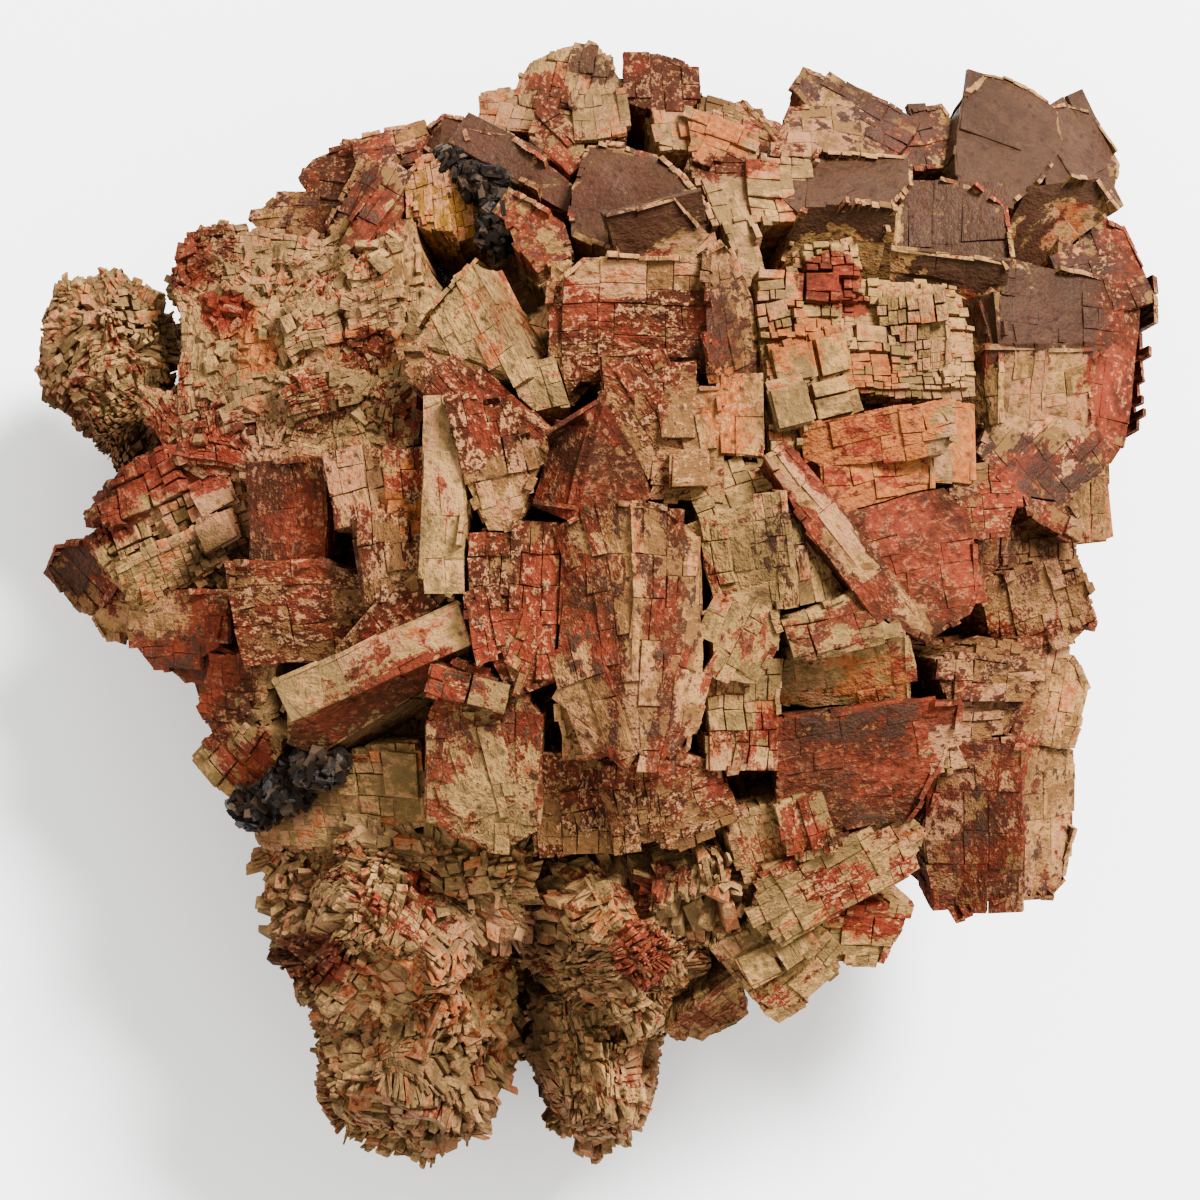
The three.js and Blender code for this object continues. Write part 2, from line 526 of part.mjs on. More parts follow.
// The brick-like field right of centre, with the orange crystal below it
clump('bricks_right_centre', CREAM, [
  block([[25.5, 51], [39, 51], [39, 22], [27.5, 21]], { up: -0.5, deep: 15 }),
  block([[38, 50], [61, 49], [61, 32], [38, 32]], { up: -1, deep: 15 }),
  block([[33, 55], [41.5, 55], [41.5, 47], [33, 47]], { up: 3, deep: 15 }),
  ...bricks(33, 37, { up: 1.6, size: [6.6, 7, 6], rows: 3, columns: 2, heading: 12, step: 1, seed: 18 }),
  block([[45, 47], [56, 48], [57, 36], [46, 35]], { up: 1, deep: 8, slope: [0.1, 0.1] }),
]);

clump('crystal_orange', ORANGE, [
  block([[33, 26.5], [55, 30.5], [58, 26], [56, 22], [36, 20], [33, 22]], { up: 4, deep: 16, slope: [-0.1, 0.2] }),
  block([[36, 21], [54, 23], [54, 13.5], [37, 12]], { up: 0, deep: 15 }),
  block([[54, 30], [60.5, 30], [60.5, 17.5], [54, 17.5]], { up: 2.5, deep: 15 }),
]);

// The red triangular crystal to the right with a pale blade down its left edge
clump('crystal_red_right', RED, [
  block([[40, 13], [56, 16.5], [60, 12], [61.5, 1], [60, -3], [53, -8.5], [49, -2]],
    { up: 3, deep: 16, slope: [-0.3, -0.1] }),
  block([[27.5, 22], [31, 23.5], [38.5, 12], [52.5, -3], [53.5, -8.5], [49, -6], [34, 9.5]],
    { up: 5, deep: 16, slope: [-0.25, 0] }),
]);

// Tan blocks between the column and the red crystal
clump('blocks_tan_centre', TAN, [
  block([[15, 10], [30.5, 16], [33, -2], [20, -2.5]], { up: 2.5, deep: 15, slope: [0.25, 0.2] }),
  block([[29, 15.5], [41, 5], [40.5, -1], [31, -2]], { up: 0.5, deep: 14, slope: [-0.75, 0] }),
  block([[16, 21], [27, 21], [28, 9], [17, 8]], { up: -2, deep: 12 }),
  block([[18, -3], [28, 1.5, 1], [29.5, -7], [26, -15], [19, -14]], { up: 3, deep: 16, slope: [-0.1, 0.1] }),
  block([[18, -11], [29.5, -12], [29.5, -28], [18, -29]], { up: 0.5, deep: 16 }),
  block([[29.5, -5], [44, 1.5], [50, -7], [33, -11]], { up: 4.5, deep: 15, slope: [-0.15, -0.3] }),
  block([[30, -9], [50, -6], [51, -18.5], [40, -20], [30, -18]], { up: -0.5, deep: 14, slope: [0.05, 0.6] }),
]);

// Upper right: the mauve crystal with a dark striated lower face
clump('crystal_mauve_right', MAUVE, [
  block([[35, 70.5, -2], [50.5, 69.5], [51, 65], [46, 59, 1], [33, 59, 1]], { up: 6.5, deep: 17, foot: 0.95 }),
  block([[33, 61], [48, 61], [44.5, 49], [28, 49.5]], { up: 1.5, deep: 15, slope: [0, 0.85], foot: 0.95 }),
]);

// Brown and pink crystals at the edge above it
clump('crystals_brown_edge', BROWN, [
  block([[28, 69.5], [31, 78], [42, 78], [43, 69]], { up: 2, deep: 15, lean: [-2, -8] }),
  block([[31.5, 80.5], [33, 84], [41, 81.5], [50.5, 76], [48, 69], [38, 71]], { up: 2, deep: 16, lean: [-4, -10] }),
  block([[49, 76], [56, 78.5], [58.5, 74], [57, 68], [49, 67]], { up: 1, deep: 15, lean: [-6, -9] }),
]);

// The big brown-grey crystal at the upper right corner
clump('crystal_brown_corner', BROWN, [
  block([[59, 78], [62.5, 83.5], [65.5, 83], [70, 81], [74, 78], [75.5, 72], [70, 65], [66, 61], [59, 62.5], [57, 66]],
    { up: 9, deep: 21, lean: [-12, -14] }),
  block([[72.5, 78], [76, 78], [80.5, 76.5], [82, 73], [84.5, 69], [83.5, 65], [80, 59.5], [76, 58], [71, 64]],
    { up: 4.5, deep: 19, lean: [-12, -10], slope: [-0.75, -0.45] }),
  block([[80, 66], [82, 60], [69, 50], [64, 53], [69, 65]],
    { up: 5.5, deep: 18, lean: [-9, -8], slope: [0.1, 0.35] }),
]);

// The flat slab between the brown crystal and the brick field
clump('slab_mauve_right', MAUVE, [
  block([[47.5, 66], [58, 66], [66, 62], [66, 51], [60, 49], [47, 54]], { up: 5, deep: 16, slope: [0, -0.25] }),
  block([[47, 55], [65.5, 53], [66, 47], [58, 44], [46, 49.5]], { up: 3, deep: 15, slope: [0.1, 0.55] }),
]);

// The big right-hand crystal: a smooth mauve top, a red face to the right and cream slabs in front
clump('crystal_big_right', MAUVE, [
  block([[61, 46], [66, 53], [82, 51], [85.5, 42], [80, 37], [63, 37]], { up: 9, deep: 19, lean: [-10, -4] }),
  block([[73, 51], [74.5, 58.5], [80, 59.5], [85.5, 58.5], [88.7, 51], [88.5, 46], [81, 44]],
    { up: 7, deep: 19, lean: [-15, -9] }),
  block([[79, 46], [88.3, 48], [87, 40], [84.5, 33], [85, 25], [80.5, 19.5], [75, 23], [76, 38]],
    { up: 2, deep: 21, lean: [-15, -4] }),
  block([[62.5, 39], [72.5, 39], [72.5, 27.5], [63, 27]], { up: 4.5, deep: 18, lean: [-8, -3], slope: [-0.2, 0.5] }),
  block([[71.5, 39], [79.5, 39], [80, 24], [72, 23.5]], { up: 5, deep: 18, lean: [-9, -3], slope: [-0.3, 0.45] }),
  block([[64, 29], [81, 27], [83.5, 22], [75.5, 14.5], [68, 15.5], [61, 22]], { up: 1, deep: 18, lean: [-10, -2] }),
  block([[58, 47], [64.5, 48], [65, 27], [60.5, 26]], { up: 2.5, deep: 16, lean: [-3, -2], slope: [1, 0] }),
]);

// Crystals around the hollow at the right
clump('crystals_right_hollow', CREAM, [
  block([[68.5, 16.5], [72, 18.5], [78.5, 11], [76.5, 8.5], [69.5, 12]], { up: 1, deep: 16, lean: [-10, -2] }),
  block([[57, 19], [63, 20], [68, 15.5], [66, 9.5], [58, 9]], { up: 2.5, deep: 15 }),
  block([[58, 11], [77, 11], [77, 1], [60, 1]], { up: -7, deep: 13, lean: [-9, 0] }),
  block([[60.5, 1], [70, 4.5], [77.5, 5], [80.5, -4], [76, -8.5], [64, -8.5]],
    { up: 2, deep: 17, lean: [-10, 0], slope: [-0.2, 0.5] }),
  block([[54, -11], [64, -8], [72, -8], [72, -15], [69, -17.5], [56, -17]], { up: 2.5, deep: 16, lean: [-7, 2] }),
  block([[56, -15], [70.5, -15], [66, -23], [56, -23]], { up: 0.5, deep: 16, lean: [-7, 3] }),
  block([[70, -8], [74, -8.5], [77.5, -12], [79, -16], [78, -20], [76.5, -25], [67, -24]],
    { up: 0, deep: 18, lean: [-11, 3] }),
]);

// The dark red crystal and its cream neighbour at the lower right
clump('crystal_dark_red', RED, [
  block([[30, -20.5], [50, -17.5], [58.5, -17.5], [57, -25], [50, -37], [34, -39], [30, -34]],
    { up: 3, deep: 17, slope: [-0.15, 0.35] }),
  block([[53, -22], [63.5, -22], [63.5, -28], [54, -29]], { up: 2.5, deep: 15 }),
]);

// The brown-red crystal at the lower right edge, with one concave face
clump('crystal_brown_red', BROWN, [
  block([[56, -23], [68, -25], [69, -48.5], [64, -49.5], [54.5, -51.5], [53, -37]],
    { up: 4.5, deep: 19, lean: [-6, 6], slope: [0.12, 0.45] }),
  block([[66, -24], [76.5, -25], [77, -30], [75, -34.5], [74, -37], [75.5, -46], [74, -48.5], [66, -49]],
    { up: 2, deep: 19, lean: [-9, 6], slope: [-0.75, 0.2] }),
]);

// White and red crystals towards the lower edge
clump('crystals_lower_right', CREAM, [
  block([[24.5, -52], [27, -44.5], [48, -35.5], [52.5, -39], [50.5, -45], [30, -56]],
    { up: 3.5, deep: 17, lean: [-2, 5] }),
  block([[30, -34], [37, -33], [39, -41], [31, -42]], { up: 3, deep: 15 }),
  block([[21, -36], [30, -34], [31, -44], [24, -47]], { up: -1, deep: 13 }),
  block([[33, -49], [51, -50], [45, -60.5], [37, -58.5]], { up: 1.5, deep: 16, lean: [-5, 8] }),
  block([[18.5, -57], [29, -69.5], [39.5, -60], [36.5, -54], [27, -52]], { up: 2, deep: 18, lean: [-2, 10] }),
  block([[11.5, -70], [17, -72], [24.5, -68], [23, -60]], { up: 1, deep: 17, lean: [0, 10] }),
  ...bricks(29, -58, { up: 3.5, size: [6, 6, 7], rows: 1, columns: 2, heading: 30, step: 1.2, seed: 38 }),
]);

// Every clump is fitted to the rock and to the clumps before it, with a hairline seam between them.
// Single large crystals come first, then the many-stepped clumps. The granular ones grew last.
const part = new THREE.Group();
part.name = 'microcline_on_matrix';
const body = new THREE.Group();
const placed = [];
const taken = [];

function fit({ name, finish, pieces }, against) {
  let shape = union(pieces.map(solid));
  for (const other of against) shape = shape.subtract(other);
  placed.push({ name, finish, shape: largest(shape) });
  taken.push(union(pieces.map((piece) => solid(wider(piece, SEAM)))));
}

const rockWider = rock(SEAM);
const crystals = clumps.filter(({ finish }) => finish !== GRANULAR);
crystals.sort((one, other) => one.pieces.length - other.pieces.length);
for (const next of crystals) fit(next, [rockWider, ...taken]);
const sideCrystals = skirt(SKIRT_ROWS);
let sides = union(sideCrystals.map(solid));
for (const other of taken) sides = sides.subtract(other);
taken.push(union(sideCrystals.map((piece) => solid(wider(piece, SEAM)))));
for (const next of clumps.filter(({ finish }) => finish === GRANULAR)) fit(next, [rockWider, ...taken]);
placed.push({ name: 'matrix', finish: ROCK, shape: largest(rock(0).add(sides)) });

// Each node's mesh lies about its own middle, and the mesh's position puts it in place.
for (const { name, finish, shape } of placed) {
  const { vertProperties, triVerts } = shape.getMesh();
  const geometry = new THREE.BufferGeometry();
  geometry.setAttribute('position', new THREE.BufferAttribute(new Float32Array(vertProperties), 3));
  geometry.setIndex(new THREE.BufferAttribute(new Uint32Array(triVerts), 1));
  geometry.computeBoundingBox();
  const centre = geometry.boundingBox.getCenter(new THREE.Vector3());
  geometry.translate(-centre.x, -centre.y, -centre.z);
  geometry.computeVertexNormals();
  const mesh = new THREE.Mesh(geometry, new THREE.MeshStandardMaterial({ ...finish, metalness: 0 }));
  mesh.name = name;
  mesh.position.copy(centre);
  body.add(mesh);
}
const reach = new THREE.Box3().setFromObject(body, true).getCenter(new THREE.Vector3());
body.position.set(-reach.x, -reach.y, 0);
part.add(body);

export default part;
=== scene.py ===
import math
import bmesh
import bpy
import numpy as np
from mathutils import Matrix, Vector
from mathutils.bvhtree import BVHTree


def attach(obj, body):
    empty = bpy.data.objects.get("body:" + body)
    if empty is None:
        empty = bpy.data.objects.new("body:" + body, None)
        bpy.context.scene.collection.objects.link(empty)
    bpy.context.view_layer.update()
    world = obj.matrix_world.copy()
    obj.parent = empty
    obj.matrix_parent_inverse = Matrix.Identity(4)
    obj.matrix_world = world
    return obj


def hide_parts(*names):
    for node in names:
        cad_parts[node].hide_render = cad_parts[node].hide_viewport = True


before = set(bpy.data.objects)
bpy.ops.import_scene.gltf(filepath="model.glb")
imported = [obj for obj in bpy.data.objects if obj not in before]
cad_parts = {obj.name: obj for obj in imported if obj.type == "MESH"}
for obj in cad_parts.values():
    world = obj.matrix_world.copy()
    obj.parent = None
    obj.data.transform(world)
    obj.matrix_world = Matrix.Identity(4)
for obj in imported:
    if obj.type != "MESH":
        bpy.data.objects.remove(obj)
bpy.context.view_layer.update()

# ---------------------------------------------------------------- the matrix
# The lump of feldspar and granite that everything grew from. It is one piece
# with the crystals of its flanks, broken off flat below, and its skin is a
# mass of small parallel cleavage blocks, tan, brown and brick red.


def photo_place(points):
    """Where points of the part, in metres, are seen from above, in mm from the middle."""
    middle_x, middle_y = 0.44, 1.57
    eye, true_height = 700, 45      # the camera's distance from the height that is seen at its true size
    x, y, z = points[:, 0] * 1000 - middle_x, points[:, 1] * 1000 - middle_y, points[:, 2] * 1000
    near = eye / (eye - (z - true_height))
    return x * near, y * near


def stain(points, patches, start=0.0):
    """How strongly each point is coloured: patches are (x, y, across, along, turn in degrees, strength)."""
    soft_edge = 0.35
    x, y = photo_place(points)
    out = np.full(len(points), start, float)
    for px, py, ru, rv, turn, amount in patches:
        c, s = math.cos(math.radians(turn)), math.sin(math.radians(turn))
        u = ((x - px) * c + (y - py) * s) / ru
        v = (-(x - px) * s + (y - py) * c) / rv
        w = np.clip(1 + soft_edge - np.sqrt(u * u + v * v), 0, soft_edge) / soft_edge
        out += w * (amount - out)
    return out


lattice = 48
wave_values = np.random.default_rng(77).normal(0, 1, (lattice, lattice, lattice, 3))


def wave(points, length):
    """A smooth random push at each point, the same for all that stands near it. length is in mm."""
    q = points * 1000 / length + 500
    i = np.floor(q).astype(int)
    t = q - i
    t = t * t * (3 - 2 * t)
    out = np.zeros((len(points), 3))
    for dx in (0, 1):
        for dy in (0, 1):
            for dz in (0, 1):
                w = t[:, 0] if dx else 1 - t[:, 0]
                w = w * (t[:, 1] if dy else 1 - t[:, 1]) * (t[:, 2] if dz else 1 - t[:, 2])
                corner = (i + (dx, dy, dz)) % lattice
                out += wave_values[corner[:, 0], corner[:, 1], corner[:, 2]] * w[:, None]
    return out


def stone_copy(node, name, step=0.0024):
    """A copy of a solid with its corners merged and its long edges cut, for colour and small relief."""
    bpy.ops.object.select_all(action="DESELECT")
    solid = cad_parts[node]
    solid.hide_set(False)
    solid.select_set(True)
    bpy.context.view_layer.objects.active = solid
    bpy.ops.object.duplicate()
    piece = bpy.context.view_layer.objects.active
    piece.name = piece.data.name = name
    piece.parent = None
    for key in [k for k in piece.keys() if k.startswith("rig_")]:
        del piece[key]
    piece.data.materials.clear()
    bpy.ops.object.mode_set(mode="EDIT")
    bpy.ops.mesh.select_all(action="SELECT")
    bpy.ops.mesh.remove_doubles(threshold=1e-6)
    bpy.ops.mesh.normals_make_consistent(inside=False)
    bpy.ops.object.mode_set(mode="OBJECT")
    faces = flat_faces(piece.data)
    bpy.ops.object.mode_set(mode="EDIT")
    bpy.ops.mesh.select_mode(type="EDGE")
    for _ in range(5):
        work = bmesh.from_edit_mesh(piece.data)
        long_edges = 0
        for e in work.edges:
            e.select = e.calc_length() > step
            long_edges += e.select
        bmesh.update_edit_mesh(piece.data)
        if not long_edges:
            break
        bpy.ops.mesh.subdivide(number_cuts=1)
        bpy.ops.mesh.select_all(action="SELECT")
        bpy.ops.mesh.quads_convert_to_tris(quad_method="SHORTEST_DIAGONAL", ngon_method="BEAUTY")
        bpy.ops.mesh.select_all(action="DESELECT")
    bpy.ops.object.mode_set(mode="OBJECT")
    return piece, faces


def flat_faces(mesh):
    """The flat faces of a solid as (corners, normal, area), largest triangles joined up."""
    work = bmesh.new()
    work.from_mesh(mesh)
    bmesh.ops.dissolve_limit(work, angle_limit=math.radians(2.5), verts=work.verts, edges=work.edges)
    out = [(np.array([v.co for v in f.verts]), np.array(f.normal), f.calc_area()) for f in work.faces]
    work.free()
    return out


def inside(corners, u, v):
    """Which of the points (u, v) lie in the polygon."""
    hit = np.zeros(len(u), bool)
    for (x0, y0), (x1, y1) in zip(corners, np.roll(corners, -1, axis=0)):
        crosses = ((y0 > v) != (y1 > v)) & (u < (x1 - x0) * (v - y0) / (y1 - y0 + 1e-15) + x0)
        hit ^= crosses
    return hit


# One cleavage block, modelled once: a cube without its underside, drawn in at
# the top and with one upper edge broken off.
bpy.ops.object.select_all(action="DESELECT")
bpy.ops.mesh.primitive_cube_add(size=2)
bpy.ops.object.mode_set(mode="EDIT")
bpy.ops.mesh.select_mode(type="FACE")
work = bmesh.from_edit_mesh(bpy.context.object.data)
for f in work.faces:
    f.select = f.normal.z > 0.9
bmesh.update_edit_mesh(bpy.context.object.data)
bpy.ops.transform.resize(value=(0.96, 0.95, 1), center_override=(0, 0, 0))
work = bmesh.from_edit_mesh(bpy.context.object.data)
for f in work.faces:
    f.select = f.normal.z < -0.9
bmesh.update_edit_mesh(bpy.context.object.data)
bpy.ops.mesh.delete(type="FACE")
bpy.ops.mesh.select_mode(type="EDGE")
work = bmesh.from_edit_mesh(bpy.context.object.data)
for e in work.edges:
    m = (e.verts[0].co + e.verts[1].co) / 2
    e.select = m.z > 0.9 and (m.x > 0.8 or m.y < -0.8)
bmesh.update_edit_mesh(bpy.context.object.data)
bpy.ops.mesh.bevel(offset=0.1, segments=1, affect="EDGES")
bpy.ops.mesh.select_all(action="SELECT")
bpy.ops.mesh.quads_convert_to_tris()
bpy.ops.object.mode_set(mode="OBJECT")
block = bpy.context.object
block_points = np.array([v.co for v in block.data.vertices])
block_faces = np.array([p.vertices for p in block.data.polygons])
bpy.data.objects.remove(block)

# What stands round each face is asked of all the solids together.
every = []
every_faces = []
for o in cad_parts.values():
    base = len(every)
    every += [tuple(v.co) for v in o.data.vertices]
    every_faces += [tuple(base + i for i in p.vertices) for p in o.data.polygons]
surroundings = BVHTree.FromPolygons(every, every_faces)


# The height of the rock over the floor, 2 mm apart, and its mean over 14 mm,
# which tells the hollows, where shade is painted, from the ridges.
grid, spacing = 120, 0.002
grid_middle = (grid - 1) / 2
heights = np.zeros((grid, grid))
for i in range(grid):
    for j in range(grid):
        above = Vector(((i - grid_middle) * spacing, (j - grid_middle) * spacing, 0.2))
        hit = surroundings.ray_cast(above, Vector((0, 0, -1)))[0]
        heights[i, j] = hit.z if hit else 0.0
mean_heights = sum(np.roll(heights, (a, c), (0, 1)) for a in range(-3, 4) for c in range(-3, 4)) / 49


def hollow(points):
    """How far each point lies below the mean height round it, in mm."""
    i = np.clip(np.round(points[:, 0] / spacing + grid_middle).astype(int), 0, grid - 1)
    j = np.clip(np.round(points[:, 1] / spacing + grid_middle).astype(int), 0, grid - 1)
    return (mean_heights[i, j] - points[:, 2]) * 1000


def open_air(points, normals, lift=0.00025, reach=0.0016):
    """Which points of a face have nothing standing right before them."""
    out = np.ones(len(points), bool)
    for i, (p, n) in enumerate(zip(points, normals)):
        start = Vector(p) + Vector(n) * lift
        out[i] = surroundings.ray_cast(start, Vector(n), reach)[0] is None
    return out


# Faces whose normals lie above or below these heights look up, or are the underside.
looks_up, underside = 0.62, -0.75


def cleave(faces, top, side, rng, least=3.0, cover=1.0, gap=0.985):
    """Splits each face along and across its longest edge, again and again, into blocks of uneven size and height.
    top and side are (length, width, height) in mm, for faces that look up and for the others, least is the
    smallest face that is split, in mm2, cover the share of the blocks that is kept, and gap their share of their
    cells' length. Gives middles, the three ways of each block and its half sizes."""
    found = []
    for corners, n, area in faces:
        if area < least * 1e-6 or n[2] < underside:
            continue
        length, width, height = (s / 1000 for s in (top if n[2] > looks_up else side))
        if length == 0:
            continue
        edges = np.roll(corners, -1, axis=0) - corners
        t = edges[np.argmax((edges ** 2).sum(1))]
        t = t / np.linalg.norm(t)
        b = np.cross(n, t)
        flat = np.stack([corners @ t, corners @ b], 1)
        lo, hi = flat.min(0), flat.max(0)
        cells = np.array([[lo[0], hi[0], lo[1], hi[1], height * 0.5]])
        step = height * 0.55
        kept = []
        for _ in range(14):
            su, sv = cells[:, 1] - cells[:, 0], cells[:, 3] - cells[:, 2]
            hits = np.zeros(len(cells), int)
            for a in (0.06, 0.5, 0.94):
                for c in (0.06, 0.5, 0.94):
                    hits += inside(flat, cells[:, 0] + a * su, cells[:, 2] + c * sv)
            heart = ((cells[:, :1] + su[:, None] / 2) * t + (cells[:, 2:3] + sv[:, None] / 2) * b
                     + n * (corners[0] @ n))
            most = (0.65 + 0.9 * rng.random(len(cells))) * np.exp(0.75 * wave(heart, 11)[:, 1])
            big = (su > length * most) | (sv > width * most)
            rim = (hits < 9) & ((su > length * 0.45) | (sv > width * 0.55))
            outside = (hits == 0) & (su < length * 1.5) & (sv < width * 1.5)
            more = (big | rim) & ~outside
            kept.append(cells[~more & (hits >= 6)])
            cells, su, sv = cells[more], su[more], sv[more]
            if not len(cells):
                break
            along = su / length > sv / width
            cut = 0.3 + 0.4 * rng.random(len(cells))
            first, second = cells.copy(), cells.copy()
            first[along, 1] = second[along, 0] = (cells[:, 0] + cut * su)[along]
            first[~along, 3] = second[~along, 2] = (cells[:, 2] + cut * sv)[~along]
            first[:, 4] += rng.normal(0, 1, len(cells)) * step * 0.6
            second[:, 4] += rng.normal(0, 1, len(cells)) * step * 0.6
            step *= 0.8
            cells = np.concatenate([first, second])
        r = np.concatenate(kept)
        r = r[rng.random(len(r)) < cover]
        k = len(r)
        if not k:
            continue
        mid_u, mid_v = (r[:, :1] + r[:, 1:2]) / 2, (r[:, 2:3] + r[:, 3:4]) / 2
        p = mid_u * t + mid_v * b + n * (corners[0] @ n)
        half = np.stack([(r[:, 1] - r[:, 0]) / 2 * gap, (r[:, 3] - r[:, 2]) / 2 * (gap - 0.01),
                         np.clip(r[:, 4], height * 0.06, height * 1.15)], 1)
        found.append((p, np.tile(t, (k, 1)), np.tile(b, (k, 1)), np.tile(n, (k, 1)), half))
    return [np.concatenate(a) for a in zip(*found)] if found else None


def grains(faces, size, rng, per_mm2=0.5, middle=None, stand=1.2):
    """Small blades standing out of each face at random, turned away from the middle of their knob.
    size is their mean (length, width) and stand their mean height, in mm. Gives what cleave gives."""
    centre, tn = [], []
    for corners, n, area in faces:
        if n[2] < underside:
            continue
        fan = [(corners[0], corners[i], corners[i + 1]) for i in range(1, len(corners) - 1)]
        for a, b, c in fan:
            s = np.linalg.norm(np.cross(b - a, c - a)) / 2
            many = int(s * 1e6 * per_mm2 + rng.random())
            if not many:
                continue
            r1, r2 = np.sqrt(rng.random((2, many, 1)))[0], rng.random((many, 1))
            centre.append(a * (1 - r1) + b * (r1 * (1 - r2)) + c * (r1 * r2))
            tn.append(np.tile(n, (many, 1)))
    centre, tn = np.concatenate(centre), np.concatenate(tn)
    out = tn + rng.normal(0, 0.28, tn.shape)
    if middle is not None:
        away = centre - np.array(middle) / 1000
        away /= np.linalg.norm(away, axis=1, keepdims=True)
        out = out * 0.6 + away
    out /= np.linalg.norm(out, axis=1, keepdims=True)
    spin = rng.normal(0, 1, out.shape)
    spin[:, 2] *= 0.4
    tu = np.cross(out, spin)
    tu /= np.linalg.norm(tu, axis=1, keepdims=True)
    tv = np.cross(out, tu)
    k = len(centre)
    length, width = size
    half = np.stack([length / 2000 * (0.5 + rng.random(k)), width / 2000 * (0.5 + rng.random(k)),
                     stand / 1000 * (0.2 + 1.0 * rng.random(k))], 1)
    return [centre, tu, tv, out, half]


def join_blocks(piece, laid, rng, sink=0.0007, tilt=0.03, wavy=0.3):
    """Adds the laid blocks to the piece's mesh, sunk into it by sink (m), out of true by tilt (rad) and all of it
    pushed about by wavy (mm). Gives for each point: its place, its face's normal, its block's random number, the
    painted shade it gets at its block's foot in the gaps, and its place along its crystal."""
    mesh = piece.data
    v0 = np.zeros(len(mesh.vertices) * 3)
    mesh.vertices.foreach_get("co", v0)
    v0 = v0.reshape(-1, 3)
    n0 = np.zeros(len(mesh.vertices) * 3)
    mesh.vertices.foreach_get("normal", n0)
    n0 = n0.reshape(-1, 3)
    f0 = np.array([tuple(p.vertices) for p in mesh.polygons])
    points, faces, normals, way = [v0], [f0], [n0], [v0]
    # The piece under the blocks, seen only through the gaps, gets some painted shade all over.
    chance, painted_gap_shade = [np.full(len(v0), 0.5)], [np.full(len(v0), 0.35)]
    for centre, tu, tv, tn, half in laid:
        clear = open_air(centre, tn)
        centre, tu, tv, tn, half = (a[clear] for a in (centre, tu, tv, tn, half))
        k = len(centre)
        lean_u, lean_v = rng.normal(0, tilt, (2, k, 1))
        nn = tn + tu * lean_u + tv * lean_v
        nn /= np.linalg.norm(nn, axis=1, keepdims=True)
        uu = tu + tv * rng.normal(0, tilt, (k, 1))
        uu -= nn * (uu * nn).sum(1, keepdims=True)
        uu /= np.linalg.norm(uu, axis=1, keepdims=True)
        vv = np.cross(nn, uu)
        flip = np.where(rng.random((k, 2)) < 0.5, -1.0, 1.0)
        uu, vv = uu * flip[:, :1], vv * flip[:, :1]
        depth = (half[:, 2] + sink) / 2
        mid = centre + nn * (half[:, 2] - depth)[:, None]
        # The broken edges stay small on large blocks.
        rim = np.minimum(half[:, None, :2], 0.0022)
        flat = block_points[None, :, :2]
        across = np.sign(flat) * (half[:, None, :2] - (1 - np.abs(flat)) * rim)
        shape = np.concatenate([across, block_points[None, :, 2:] * depth[:, None, None]], 2)
        p = mid[:, None] + shape[..., :1] * uu[:, None] + shape[..., 1:2] * vv[:, None]
        p = p + shape[..., 2:] * nn[:, None]
        way.append(np.stack([(p * a[:, None]).sum(2) for a in (tu, tv, tn)], 2).reshape(-1, 3))
        start = sum(len(a) for a in points)
        points.append(p.reshape(-1, 3))
        shift = (np.arange(k) * len(block_points))[:, None, None] + start
        faces.append((block_faces[None] + shift).reshape(-1, 3))
        chance.append(np.repeat(rng.random(k), len(block_points)))
        # Painted shade at the foot of each block, in the gaps: the taller the block, the darker.
        painted_gap_shade.append((np.clip(half[:, 2:] * 900 + 0.25, 0, 0.95) * (block_points[None, :, 2] < 0)).ravel())
        normals.append(np.repeat(tn, len(block_points), axis=0))
    v, f = np.concatenate(points), np.concatenate(faces)
    v += wave(v, 7.3) * wavy / 1000 + wave(v, 2.6) * wavy * 0.3 / 1000
    v[:, 2] = np.maximum(v[:, 2], 0.0)
    mesh.clear_geometry()
    mesh.from_pydata(v.tolist(), [], f.tolist())
    mesh.update()
    return v, np.concatenate(normals), np.concatenate(chance), np.concatenate(painted_gap_shade), np.concatenate(way)


# The shares of white flecks, from none to all over, move two stops of a ramp by this much.
fleck_shift = 0.07


